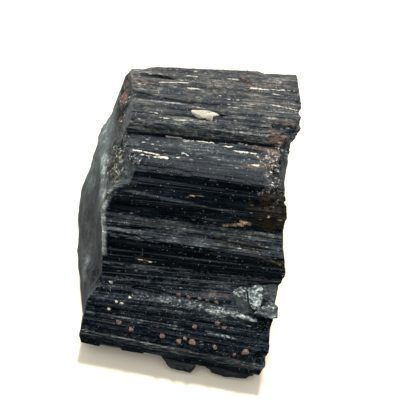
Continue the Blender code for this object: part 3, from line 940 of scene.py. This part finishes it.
# centre, radii, seed and raggedness
ZONES = {
    "amber": ((19.8, -3.0, 27.6), (5.4, 4.8, 5.4), 131, 0.5),
    "notch": ((-10.8, 4.6, 28.4), (4.4, 7.2, 5.4), 137, 0.5),
    "rubble": ((20.9, 3.4, 31.0), (3.8, 7.4, 4.8), 151, 0.5),
    "rim": ((-12.0, 16.5, 31.0), (2.6, 8.0, 5.0), 153, 0.5),
    "veins": ((-6.3, 3.0, 32.4), (2.6, 1.6, 1.4), 173, 0.5),
    "sandy": ((18.6, 5.6, 33.2), (2.8, 3.4, 1.4), 159, 0.5),
    "dark": ((-12.4, -14.4, 14.6), (1.6, 1.2, 1.3), 163, 0.2),
}
KHAKI_SPOTS = (((-10.5, 4.5, 28.6), 1.4), ((-11.1, 3.1, 27.4), 1.68), ((-9.9, 0.7, 27.6), 1.26))
IRON_SPOTS = (
    ((-11.9, 18.0, 31.0), (1.7, 2.8, 2.4), 139, 0.25, 1.0),
    ((-11.6, 13.4, 29.0), (1.2, 1.2, 1.2), 143, 0.25, 0.7),
    ((19.3, 9.3, 34.2), (1.6, 0.9, 1.2), 149, 0.25, 0.9),
    ((-11.0, 20.6, 33.6), (1.4, 2.2, 1.4), 177, 0.35, 0.7),
)


def patch(centre, radii, seed, ragged):
    """1 inside an ellipsoid, torn at its wall by noise, and 0 outside it."""
    away = from_heart(points, centre, radii) + ragged * fractal(points, (1.2, 1.2, 1.2), 3, seed)
    return 1.0 - smooth(away, 0.7, 1.0)


def highest(*values):
    """The greatest of several lists at each point."""
    return np.maximum.reduce(np.broadcast_arrays(*values))


zone = {name: patch(*row) for name, row in ZONES.items()}
amber = highest(zone["amber"], on_all(strokes(AMBER, 105, 0.3)))
khaki_spots = [patch(spot, (size,) * 3, 171, 0.45) for spot, size in KHAKI_SPOTS]
khaki = highest(0.35 * zone["notch"], *khaki_spots)
# shattered zones: rougher facets, and cracks and pits that the material paints black as crevice shade
shatter = highest(0.75 * zone["notch"], zone["veins"], zone["rubble"], 0.7 * zone["rim"])
grit_side = 0.01 * np.array([GRIT.get(name, 40) for name in EDGE_NAMES])[tile_face]
grit = highest(on_all(np.maximum(grit_side, ribbons), 0.25), 0.8 * shatter)
warm = on_all(smooth(side_s, way_round("crest", 0.0), way_round("far_shoulder", 0.5)), 0.05)
warm = highest(warm, 0.9 * zone["rubble"])
film = film * (1.0 - 0.4 * amber)
for name, level in (("notch", 0.34), ("veins", 0.30)):
    film = film + zone[name] * (level - film)
film = film + np.clip(khaki - 0.4, 0.0, 0.6) * (1.0 - film)
for name, level in (("rim", 0.17), ("rubble", 0.46)):
    film = film + zone[name] * (level - film)
film = film * (1.0 - 0.85 * zone["dark"])
iron_spots = [strength * patch(*row) for *row, strength in IRON_SPOTS]
iron = highest(on_all(strokes(IRON, 107, 0.6)), 0.10 * zone["sandy"], *iron_spots)
gold = highest(on_all(strokes(GOLD, 109, 0.7)), 0.10 * zone["sandy"])
cream = highest(on_all(strokes(CREAM, 103, 0.5)), 0.62 * zone["sandy"])
MASKS = {
    "film": film, "warm": warm, "iron": iron, "cream": cream, "gold": gold, "amber": amber,
    "khaki": khaki, "grit": grit, "shatter": shatter, "fracture": on_all(bevel_share, 1.0),
}
print("greatest", {name: round(float(values.max()), 2) for name, values in MASKS.items()})

# %% Mesh
def new_mesh(name, points, faces):
    """An object whose mesh holds the points, in metres, and the faces, which are shaded flat."""
    mesh = bpy.data.meshes.new(name)
    mesh.from_pydata((points * MM).tolist(), [], faces)
    mesh.polygons.foreach_set("use_smooth", np.zeros(len(mesh.polygons), bool))
    mesh.update()
    piece = bpy.data.objects.new(name, mesh)
    bpy.context.collection.objects.link(piece)
    return piece


def add_masks(piece, masks):
    """Numbers on every point, which a material reads by their names; those not given are 0."""
    count = len(piece.data.vertices)
    for name in MASKS:
        values = np.broadcast_to(masks.get(name, 0.0), count)
        layer = piece.data.attributes.new(name, "FLOAT", "POINT")
        layer.data.foreach_set("value", np.clip(values, 0.0, 1.0).astype(np.float32))


crystal = new_mesh("striated_crystal", points, quads.tolist() + triangles.tolist())
add_masks(crystal, MASKS)
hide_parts(NODE)
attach(crystal, "root")
print("crystal faces", len(crystal.data.polygons))

# %% [markdown]
# ## Laths that hang under the front edge, and a broken flake
#
# Under the front edge two laths have split away and still hang there, and on the low right
# flakes stand out of a break. Each is a stone with flat cuts: in every direction its wall is at
# the nearest of a few planes. A soft nearest, instead of the exact one, rounds the edges a
# little, and noise that is long along X gives them the ribs of the rest.

# %% Cut stones
def hull_planes(corners):
    """Outward normals and offsets, from the middle, of the flats round a set of corners."""
    mesh = bmesh.new()
    for corner in corners:
        mesh.verts.new(corner)
    bmesh.ops.convex_hull(mesh, input=mesh.verts)
    middle = np.mean(corners, axis=0)
    normals = np.array([face.normal[:] for face in mesh.faces])
    places = np.array([face.verts[0].co[:] for face in mesh.faces])
    mesh.free()
    offsets = ((places - middle) * normals).sum(1)
    outward = np.sign(offsets)
    return middle, normals * outward[:, None], offsets * outward


def ball_grid(rows, around):
    """Directions on a ball, pole first and last, and the quads and triangles that join them."""
    u = np.linspace(0.0, np.pi, rows + 1)[1:-1]
    v = np.linspace(0.0, 2.0 * np.pi, around, endpoint=False)
    u, v = (a.ravel() for a in np.meshgrid(u, v, indexing="ij"))
    ring = np.stack([np.cos(u), np.sin(u) * np.cos(v), np.sin(u) * np.sin(v)], 1)
    directions = np.vstack([[1.0, 0.0, 0.0], ring, [-1.0, 0.0, 0.0]])
    first = 1 + np.arange(around)
    last = first + (rows - 2) * around
    start = np.stack([np.zeros(around, int), first, np.roll(first, -1)], 1)
    end = np.stack([np.full(around, len(directions) - 1), np.roll(last, -1), last], 1)
    return directions, (1 + ring_quads(rows - 1, around)).tolist() + start.tolist() + end.tolist()


def cut_stone(middle, normals, offsets, rows, around, stretch, sharpness):
    """Points where each direction meets the planes: 1 / (sum of (n.d / offset)^p)^(1/p)."""
    directions, faces = ball_grid(rows, around)
    directions = directions * np.array(stretch)
    lean = np.maximum(directions @ normals.T / offsets, 0.0)
    return middle + directions / ((lean**sharpness).sum(1) ** (1.0 / sharpness))[:, None], faces


STONE_ROWS, STONE_AROUND, STONE_SHARPNESS = 60, 110, 30.0
# name: stretch of the grid, rib height, noise height, film, grit, corners
FRAGMENTS = {
    "hanging_lath": ((3.6, 2.6, 1.2), 0.22, 0.14, 0.07, 0.5, (
        (1.0, -23.4, 3.2), (2.6, -24.7, 2.2), (3.2, -25.2, 1.1), (7.4, -25.7, 0.9), (8.2, -25.0, 2.4),
        (8.4, -23.4, 2.8), (8.3, -20.0, 0.5), (1.6, -20.0, 0.5), (4.5, -20.5, 3.4),
    )),
    "hanging_splinter": ((5.5, 2.6, 1.2), 0.22, 0.16, 0.06, 0.5, (
        (9.8, -23.9, 2.6), (11.4, -25.2, 1.3), (14.9, -25.5, 1.0), (18.4, -25.4, 1.1), (19.6, -24.8, 1.6),
        (20.4, -23.9, 2.8), (20.2, -20.5, 0.5), (10.6, -20.5, 0.5), (15.6, -21.0, 3.2),
    )),
    "left_flake": ((1.8, 1.4, 1.2), 0.02, 0.08, 0.62, 1.0, (
        (13.9, -13.9, 15.3), (15.5, -12.9, 16.6), (16.5, -13.2, 16.8), (16.6, -14.3, 16.2),
        (17.1, -15.6, 15.3), (15.2, -14.0, 13.5), (16.4, -13.0, 13.8), (16.6, -14.6, 13.5),
    )),
    "bright_flake": ((1.6, 2.0, 1.2), 0.02, 0.12, 0.66, 1.0, (
        (16.8, -13.6, 16.7), (18.3, -12.6, 17.6), (19.5, -12.7, 17.8), (20.0, -15.1, 16.7),
        (19.3, -17.1, 15.5), (18.1, -16.8, 15.4), (17.3, -15.7, 15.9), (17.6, -13.5, 13.5),
        (19.4, -14.0, 13.5), (18.6, -16.0, 13.0),
    )),
    "dark_flake": ((1.4, 1.6, 1.2), 0.02, 0.12, 0.13, 0.9, (
        (19.6, -12.6, 17.4), (21.8, -11.8, 17.4), (22.4, -13.3, 16.9), (21.8, -15.1, 16.1),
        (20.0, -15.2, 16.2), (20.0, -13.0, 13.5), (22.2, -13.5, 13.5),
    )),
    "low_flake": ((1.8, 1.4, 1.0), 0.02, 0.12, 0.3, 0.9, (
        (18.3, -17.5, 14.8), (19.5, -16.6, 15.6), (21.3, -14.9, 16.3), (23.0, -15.8, 15.5),
        (23.0, -17.7, 14.2), (20.7, -17.8, 14.2), (19.6, -16.6, 12.8), (22.6, -16.2, 12.8),
    )),
    "smooth_flake": ((1.9, 1.6, 1.0), 0.02, 0.04, 0.14, 0.35, (
        (13.9, -14.0, 15.2), (16.4, -14.5, 15.6), (17.8, -15.9, 15.1), (18.4, -17.2, 14.2),
        (15.7, -17.2, 13.9), (16.0, -15.5, 12.5), (17.6, -16.2, 12.5),
    )),
    "side_chip": ((1.4, 1.8, 1.5), 0.02, 0.16, 0.2, 0.9, (
        (19.0, 9.5, 33.1), (21.8, 10.1, 32.9), (21.7, 8.0, 32.4), (21.1, 6.0, 31.8), (19.8, 6.2, 32.2),
        (18.9, 8.1, 32.9), (19.6, 8.2, 29.5), (21.3, 8.0, 29.0), (20.6, 9.6, 29.5),
    )),
    "end_knob": ((2.8, 1.4, 1.2), 0.05, 0.12, 0.05, 0.5, (
        (17.6, 11.8, 36.0), (22.8, 12.0, 36.1), (23.4, 11.5, 35.5), (22.6, 10.4, 34.8), (21.0, 10.0, 34.7),
        (18.4, 10.6, 35.1), (19.5, 12.8, 34.4), (22.4, 12.8, 34.4),
    )),
}


def fragment_points(corners, stretch, rib, grain, seed):
    """A cut stone whose wall moves in and out by long ribs and by fractal noise."""
    middle, normals, offsets = hull_planes(corners)
    shape, faces = cut_stone(
        middle, normals, offsets, STONE_ROWS, STONE_AROUND, stretch, STONE_SHARPNESS)
    outward = unit(shape - middle)
    ribs = value_noise(shape / np.array((4.0, 0.32, 0.32)), seed)
    shift = rib * ribs + grain * fractal(shape, (1.3, 0.9, 0.9), 4, seed + 1)
    shape = shape + shift[:, None] * outward
    shape[:, 2] = np.maximum(shape[:, 2], 0.0)
    return shape, faces


def knob_rust(shape):
    """A thin line of rust along the high edge of the knob."""
    return smooth(shape[:, 2] + 0.45 * (shape[:, 1] - 11.0), 36.1, 36.3)


stones = []
for number, (name, fragment) in enumerate(FRAGMENTS.items()):
    stretch, rib, bumps, stone_film, stone_grit, corners = fragment
    shape, faces = fragment_points(corners, stretch, rib, bumps, 201 + 7 * number)
    masks = {"film": stone_film * (1.0 + 0.4 * fractal(shape, (1.6, 0.7, 0.7), 4, 301)),
             "grit": stone_grit, "fracture": 0.6}
    if name == "side_chip":
        masks |= {"khaki": 0.5, "shatter": 0.5}
    if name == "end_knob":
        masks |= {"iron": knob_rust(shape), "shatter": 0.5}
    piece = new_mesh(name, shape, faces)
    add_masks(piece, masks)
    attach(piece, "root")
    stones.append(piece)
print([piece.name for piece in stones])

# %% [markdown]
# ## Grains
#
# Small crystals of other minerals sit on the stone: brown and cream grains on the low front,
# golden ones higher up and a long cream lump on the top. Each is a little cut stone with its own
# random planes, half sunk in the surface.

# %% Grains
# kind, face, and then x, share, size along and across in mm, and height as a share of that
GRAINS = (
    ("cream", "riser_top",
     (4.3, 0.64, 1.55, 1.0, 0.55), (5.8, 0.62, 1.2, 0.75, 0.5), (6.9, 0.72, 0.9, 0.42, 0.5)),
    ("brown", "ridge_top",
     (-7.2, 0.79, 0.45, 0.42, 0.8), (-4.8, 0.59, 0.42, 0.38, 0.8), (1.4, 0.53, 0.48, 0.45, 0.8),
     (4.8, 0.44, 0.42, 0.42, 0.8), (7.4, 0.56, 0.52, 0.46, 0.8), (5.9, 0.62, 0.36, 0.34, 0.8),
     (11.7, 0.47, 0.4, 0.36, 0.8), (17.6, 0.53, 0.54, 0.5, 0.8), (15.8, 0.29, 0.32, 0.3, 0.8)),
    ("brown", "low_line", (11.7, 0.79, 0.4, 0.36, 0.8), (7.6, 0.38, 0.4, 0.3, 0.8)),
    ("brown", "bench_top", (21.3, 0.05, 0.42, 0.36, 0.8)),
    ("brown", "low_line", (13.0, 0.55, 0.34, 0.26, 0.6)),
    ("brown", "gutter",
     (3.9, 0.38, 0.4, 0.32, 0.7), (5.7, 0.31, 0.36, 0.3, 0.7), (7.8, 0.31, 0.44, 0.32, 0.7),
     (9.3, 0.25, 0.36, 0.3, 0.7), (11.1, 0.22, 0.4, 0.3, 0.7)),
    ("cream", "low_line", (-9.4, 0.62, 0.34, 0.26, 0.7)),
    ("cream", "gutter", (-9.5, 0.69, 0.3, 0.24, 0.7)),
    ("cream", "band_top", (-5.6, 0.8, 0.32, 0.24, 0.7)),
    ("cream", "band_foot", (-7.2, 0.44, 0.34, 0.24, 0.7), (-8.2, 0.6, 0.26, 0.22, 0.7)),
    ("gold", "step_back",
     (11.6, 0.08, 0.34, 0.24, 0.7), (12.9, 0.14, 0.45, 0.3, 0.7), (14.1, 0.2, 0.5, 0.34, 0.8),
     (14.9, 0.3, 0.48, 0.36, 0.8), (14.2, 0.34, 0.34, 0.26, 0.7)),
    ("gold", "dark_line", (4.6, 0.17, 0.55, 0.16, 0.6)),
    ("cream", "thin_ridge", (-4.2, 0.26, 0.42, 0.1, 0.6), (-2.2, 0.215, 0.3, 0.1, 0.6)),
)
GRAIN_SEED, GRAIN_CUTS, GRAIN_REACH = 67, 13, 1.3
GRAIN_ROWS, GRAIN_AROUND, GRAIN_SHARPNESS = 11, 18, 26.0
normals = point_normals(points)


def spot_on_side(x, face, share):
    """The nearest point of the side grid to a place, and the skin's normal there."""
    column = int(np.abs(column_s - way_round(face, share)).argmin())
    station = int(np.abs(side_x[:, column] - x).argmin())
    number = station * columns + column
    return points[number], normals[number]


def grain_points(rng, x, face, share, along, across, height):
    """A cut stone of random planes, scaled along X, across and outwards, half sunk in the skin."""
    directions = unit(rng.normal(size=(GRAIN_CUTS, 3)))
    offsets = rng.uniform(0.75, 1.1, GRAIN_CUTS)
    shape, faces = cut_stone(
        np.zeros(3), directions, offsets, GRAIN_ROWS, GRAIN_AROUND, (1, 1, 1), GRAIN_SHARPNESS)
    shape = np.clip(shape, -GRAIN_REACH, GRAIN_REACH)
    spot, outward = spot_on_side(x, face, share)
    lengthways = np.array([1.0, -0.06, 0.0])
    sideways = unit(np.cross(outward, lengthways))
    basis = np.stack([lengthways * along, sideways * across, outward * height * across])
    return spot + 0.25 * height * across * outward + shape @ basis, faces


def join_grains(kind):
    """All grains of one kind as one list of points and faces."""
    rng = np.random.default_rng(GRAIN_SEED)
    all_points, all_faces, count = [], [], 0
    for its_kind, face, *rows in GRAINS:
        for x, share, *sizes in rows:
            shape, faces = grain_points(rng, x, face, share, *sizes)
            if its_kind == kind:
                all_points.append(shape)
                all_faces += [[count + corner for corner in f] for f in faces]
                count += len(shape)
    return np.vstack(all_points), all_faces


grains = {kind: new_mesh(kind + "_grains", *join_grains(kind)) for kind in ("brown", "cream", "gold")}
for piece in grains.values():
    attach(piece, "root")
print({kind: len(piece.data.polygons) for kind, piece in grains.items()})

# %% [markdown]
# ## Materials and light
#
# A material is a graph of nodes. The two classes below let it be written as plain sums and
# products. The stone mixes its colours by the numbers on the mesh's points and by noise that is
# stretched along the laths.

# %% Shader graphs
class Wire:
    """A socket that Python can do arithmetic with: each operation adds a Math node."""

    def __init__(self, graph, socket):
        self.graph, self.socket = graph, socket

    def math(self, operation, *values):
        """This wire alone, or the values given, through a Math node."""
        inputs = dict(enumerate(values or (self,)))
        return self.graph.add("ShaderNodeMath", {"operation": operation}, inputs)

    def __add__(self, other):
        return self.math("ADD", self, other)

    def __radd__(self, other):
        return self.math("ADD", other, self)

    def __sub__(self, other):
        return self.math("SUBTRACT", self, other)

    def __rsub__(self, other):
        return self.math("SUBTRACT", other, self)

    def __mul__(self, other):
        return self.math("MULTIPLY", self, other)

    def __rmul__(self, other):
        return self.math("MULTIPLY", other, self)

    def clamp(self, low=0.0, high=1.0):
        return self.math("MINIMUM", self.math("MAXIMUM", self, low), high)

    def step(self, low, high):
        """0 below low, 1 above high, and smooth between."""
        settings = {"interpolation_type": "SMOOTHSTEP"}
        return self.graph.add("ShaderNodeMapRange", settings, {0: self, 1: low, 2: high, 3: 0.0, 4: 1.0})


class Graph:
    """A node tree, with nodes added by type with their settings and inputs."""

    def __init__(self, tree, shader):
        self.tree = tree
        self.shader = tree.nodes[shader]

    def put(self, socket, value):
        """A wire into a socket, or a value on it; a colour may leave out its alpha, which is 1."""
        if isinstance(value, Wire):
            self.tree.links.new(value.socket, socket)
        elif socket.type == "RGBA" and len(value) == 3:
            socket.default_value = (*value, 1.0)
        else:
            socket.default_value = value

    def add(self, kind, settings=None, inputs=None, output=0):
        node = self.tree.nodes.new(kind)
        for name, value in (settings or {}).items():
            setattr(node, name, value)
        for name, value in (inputs or {}).items():
            self.put(node.inputs[name], value)
        return Wire(self, node.outputs[output])

    def blend(self, share, first, second):
        """Colour: first where share is 0, second where it is 1."""
        return self.add("ShaderNodeMix", {"data_type": "RGBA"}, {0: share, 6: first, 7: second}, 2)

    def attribute(self, name):
        return self.add("ShaderNodeAttribute", {"attribute_name": name}, {}, 2)

    def mapped(self, stretch):
        """The object's coordinates in millimetres, each times its own factor."""
        place = self.add("ShaderNodeTexCoord", {}, {}, 3)
        return self.add("ShaderNodeMapping", {}, {0: place, 3: tuple(1000.0 * s for s in stretch)})

    def noise(self, scale, stretch=(1.0, 1.0, 1.0), detail=3.0, roughness=0.5):
        inputs = {0: self.mapped(stretch), 2: scale, 3: detail, 4: roughness}
        return self.add("ShaderNodeTexNoise", {}, inputs)

    def cells(self, scale, stretch=(1.0, 1.0, 1.0), metric="EUCLIDEAN"):
        """A random number in each Voronoi cell, and the distance from each cell's heart."""
        inputs = {"Vector": self.mapped(stretch), "Scale": scale}
        colour = self.add("ShaderNodeTexVoronoi", {}, inputs, 1)
        distance = self.add("ShaderNodeTexVoronoi", {"distance": metric}, inputs, 0)
        return self.add("ShaderNodeSeparateColor", {}, {0: colour}, 0), distance

    def specks(self, scale, size, kept, stretch=(1.0, 1.0, 1.0)):
        """1 on scattered dots: close to the heart of a Voronoi cell, in the kept share of cells."""
        chance, distance = self.cells(scale, stretch)
        return (1.0 - distance.step(0.6 * size, size)) * (1.0 - chance.step(kept - 0.01, kept + 0.01))

    def surface(self, **inputs):
        for name, value in inputs.items():
            self.put(self.shader.inputs[name.replace("_", " ").title().replace("Ior", "IOR")], value)


def new_material(name):
    material = bpy.data.materials.new(name)
    material.use_nodes = True
    return material, Graph(material.node_tree, "Principled BSDF")


# %% Tourmaline
def tourmaline():
    material, graph = new_material("black tourmaline")
    film, warm, iron, cream, gold, amber, khaki, grit, shatter, fracture = map(graph.attribute, MASKS)
    streaks = graph.noise(1.0, (0.15, 2.8, 2.8), 6.0, 0.7)
    fine = graph.noise(1.0, (0.8, 3.6, 3.6), 3.0, 0.6)
    hairs = graph.noise(1.0, (0.10, 5.5, 5.5), 2.0, 0.6)
    flow = graph.noise(1.0, (1.8, 0.5, 0.5), 5.0, 0.65)
    grain = graph.noise(1.5, (0.7, 1.0, 1.0), 5.0, 0.75)
    clouds = graph.noise(0.4, (0.6, 1.0, 1.0), 5.0, 0.65)
    chance, pyramid = graph.cells(2.6, (0.8, 1.0, 1.0), "CHEBYCHEV")
    plates, _ = graph.cells(0.30, (1.0, 0.7, 1.2))

    # how much film each place carries
    ribbed = (0.2 + 1.5 * streaks.step(0.38, 0.66)) * (0.45 + 1.1 * fine.step(0.35, 0.68))
    ribbed = ribbed * (0.2 + 1.6 * hairs.step(0.41, 0.59))
    ribbed = ribbed + fracture * (0.75 + 0.5 * flow.step(0.38, 0.64) - ribbed)
    broken = (0.2 + 1.4 * grain.step(0.40, 0.64)) * (0.35 + 1.9 * chance * chance)
    cloudy = 0.5 + clouds.step(0.32, 0.68)
    cloudy = cloudy + fracture * (0.7 + 0.2 * clouds.step(0.40, 0.60) + 0.45 * plates - cloudy)
    share = film * (ribbed + grit * (broken - ribbed)) * cloudy
    # in shattered zones the film is taken away along cracks, in pits and in some cells: painted shade of
    # crevices
    gaps = (graph.noise(1.5, (0.9, 1.0, 1.0), 4.0, 0.6) - 0.5).math("ABSOLUTE").step(0.02, 0.08)
    pits = graph.noise(0.9, (1.0, 1.0, 1.0), 3.0, 0.6).step(0.46, 0.52)
    outside_painted_crevices = gaps * chance.step(0.15, 0.35) * (0.1 + 1.05 * pits)
    share = (share * (1.0 - shatter * (1.0 - outside_painted_crevices))).clamp()

    # the film's colour, with a painted bluish sheen where the film is thin, and the stone under it
    black = graph.blend(streaks.step(0.4, 0.7), (0.0006, 0.0016, 0.0030), (0.0014, 0.003, 0.005))
    dust_and_sheen = graph.blend(warm, (0.293, 0.345, 0.343), (0.355, 0.34, 0.29))
    # a blue where the film is thin paints the bluish sheen of the dark faces
    dust_and_sheen = graph.blend(share.step(0.0, 0.14), (0.15, 0.28, 0.41), dust_and_sheen)
    dust_and_sheen = graph.blend(warm * clouds.step(0.5, 0.62) * 0.4, dust_and_sheen, (0.36, 0.28, 0.22))
    dust_and_sheen = graph.blend(fracture * (1.0 - shatter), dust_and_sheen, (0.27, 0.335, 0.335))
    frost = graph.noise(1.0, (3.0, 3.4, 3.4), 3.0, 0.65).step(0.48, 0.60)
    dust_and_sheen = graph.blend(share.step(0.40, 0.75) * frost, dust_and_sheen, (0.66, 0.68, 0.66))
    dust_and_sheen = graph.blend(khaki, dust_and_sheen, (0.36, 0.35, 0.23))
    tone = graph.blend(share, black, dust_and_sheen)

    # stains and streaks of other minerals
    tone = graph.blend(amber * fine.step(0.35, 0.6), tone, (0.022, 0.016, 0.006))
    rust = graph.blend(grain.step(0.4, 0.6), (0.09, 0.05, 0.04), (0.24, 0.145, 0.105))
    tone = graph.blend(iron * grain.step(0.3, 0.6), tone, rust)
    tone = graph.blend(gold * grain.step(0.35, 0.6), tone, (0.34, 0.24, 0.15))
    tone = graph.blend((0.5 * cream + grain - 0.84).step(0.0, 0.10), tone, (0.63, 0.58, 0.49))

    # pale specks: dashes along the ribs, dots and sparks on broken places that paint glints, and crumbs in
    # shattered ones
    dusty = (film * 8.0).clamp()
    flocks = graph.noise(0.3, (0.5, 1.0, 1.0), 2.0).step(0.46, 0.60)
    dashes = graph.specks(1.9, 0.26, 0.30, (0.30, 1.0, 1.0)) * flocks * (0.35 + 0.65 * dusty)
    dots = graph.specks(2.3, 0.24, 0.20) * (0.4 + 0.6 * dusty)
    glint_sparks = graph.specks(3.2, 0.30, 0.25) * grit * dusty
    crumbs = shatter.step(0.35, 0.85) * gaps * pits * chance.step(0.80, 0.86)
    pale = (dashes + dots + 0.7 * glint_sparks).clamp() * (0.6 - 0.45 * fracture)
    tone = graph.blend((pale + 0.9 * crumbs).clamp(), tone, (0.60, 0.60, 0.56))

    height = streaks * 0.5 + fine * 0.3 + hairs * 0.3 + grain * 0.4 + grit * pyramid * 1.6
    bump = graph.add("ShaderNodeBump", {}, {"Strength": 0.5, "Distance": 0.00006, "Height": height})
    roughness = (0.08 + 0.16 * grain + 1.4 * film + 0.3 * fracture).clamp(0.12, 0.7)
    graph.surface(base_color=tone, roughness=roughness, normal=bump, ior=1.64)
    return material


stone = tourmaline()
for piece in [crystal, *stones]:
    piece.data.materials.append(stone)


# %% Grain materials
def grain_material(name, dark, light):
    """Two tones mixed by noise as fine as sugar, matt, with a little bump."""
    material, graph = new_material(name)
    mottle = graph.noise(2.2, (1.0, 1.0, 1.0), 4.0, 0.7)
    tone = graph.blend(mottle.step(0.3, 0.7), dark, light)
    bump = graph.add("ShaderNodeBump", {}, {"Strength": 0.6, "Distance": 0.00006, "Height": mottle})
    graph.surface(base_color=tone, roughness=0.6, normal=bump)
    return material


GRAIN_TONES = {
    "brown": ((0.07, 0.045, 0.035), (0.24, 0.16, 0.125)),
    "cream": ((0.30, 0.27, 0.20), (0.62, 0.60, 0.48)),
    "gold": ((0.10, 0.07, 0.045), (0.40, 0.28, 0.19)),
}
for kind, (dark, light) in GRAIN_TONES.items():
    grains[kind].data.materials.append(grain_material(kind + " grain", dark, light))

# %% Floor, lights
FLOOR_HALF, FLOOR_GAP = 1.5, 0.00005  # in metres


def add_floor():
    mesh = bpy.data.meshes.new("table")
    corners = [(x * FLOOR_HALF, y * FLOOR_HALF, 0) for x, y in ((-1, -1), (1, -1), (1, 1), (-1, 1))]
    mesh.from_pydata(corners, [], [(0, 1, 2, 3)])
    floor = bpy.data.objects.new("table", mesh)
    floor.location.z = -FLOOR_GAP
    floor.visible_glossy = False
    bpy.context.collection.objects.link(floor)
    material, graph = new_material("white table")
    graph.surface(base_color=(0.86, 0.78, 0.63), roughness=0.9)
    mesh.materials.append(material)


def add_sun(name, azimuth, elevation, strength, angle, colour):
    """A sun at an azimuth, in degrees, round from behind, with its own apparent size."""
    data = bpy.data.lights.new(name, "SUN")
    data.energy, data.angle, data.color = strength, np.radians(angle), colour
    sun = bpy.data.objects.new(name, data)
    bpy.context.collection.objects.link(sun)
    a, e = np.radians(azimuth), np.radians(elevation)
    towards = Vector((np.sin(a) * np.cos(e), np.cos(a) * np.cos(e), np.sin(e)))
    sun.rotation_euler = towards.to_track_quat("Z", "Y").to_euler()
    sun.visible_glossy = False


WORLD_STRENGTH = 0.85
RAMP = (
    (0.0, (0.006, 0.009, 0.013)), (0.12, (0.05, 0.06, 0.07)), (0.40, (0.35, 0.38, 0.40)),
    (0.70, (0.80, 0.82, 0.83)), (1.0, (1.0, 1.0, 1.0)),
)


def add_world():
    """A room lit from behind and above, and dark in front and below.

    Its brightness follows 0.75 * y + 0.66 * up of the direction, through a ramp, where up is z
    above the horizon and 0.3 * |z| below it.
    """
    world = bpy.data.worlds.new("studio")
    bpy.context.scene.world = world
    world.use_nodes = True
    graph = Graph(world.node_tree, "Background")
    place = graph.add("ShaderNodeTexCoord", {}, {}, 0)
    y = graph.add("ShaderNodeSeparateXYZ", {}, {0: place}, 1)
    z = graph.add("ShaderNodeSeparateXYZ", {}, {0: place}, 2)
    level = 0.75 * y + 0.66 * z.math("MAXIMUM", z, z * -0.3)
    light = graph.add("ShaderNodeValToRGB", {}, {0: (level + 0.2) * (1.0 / 1.1)})
    ramp = light.socket.node.color_ramp.elements
    for place, _ in RAMP[1:-1]:
        ramp.new(place)
    for stop, (place, colour) in zip(ramp, RAMP):
        stop.position, stop.color = place, (*colour, 1.0)
    graph.surface(color=light, strength=WORLD_STRENGTH)


add_floor()
add_sun("window", 7.0, 60.0, 4.2, 7.0, (1.0, 0.98, 0.95))
add_sun("fill", 180.0, 62.0, 1.25, 110.0, (1.0, 1.0, 1.0))
add_world()
bpy.context.scene.view_settings.view_transform = "Standard"
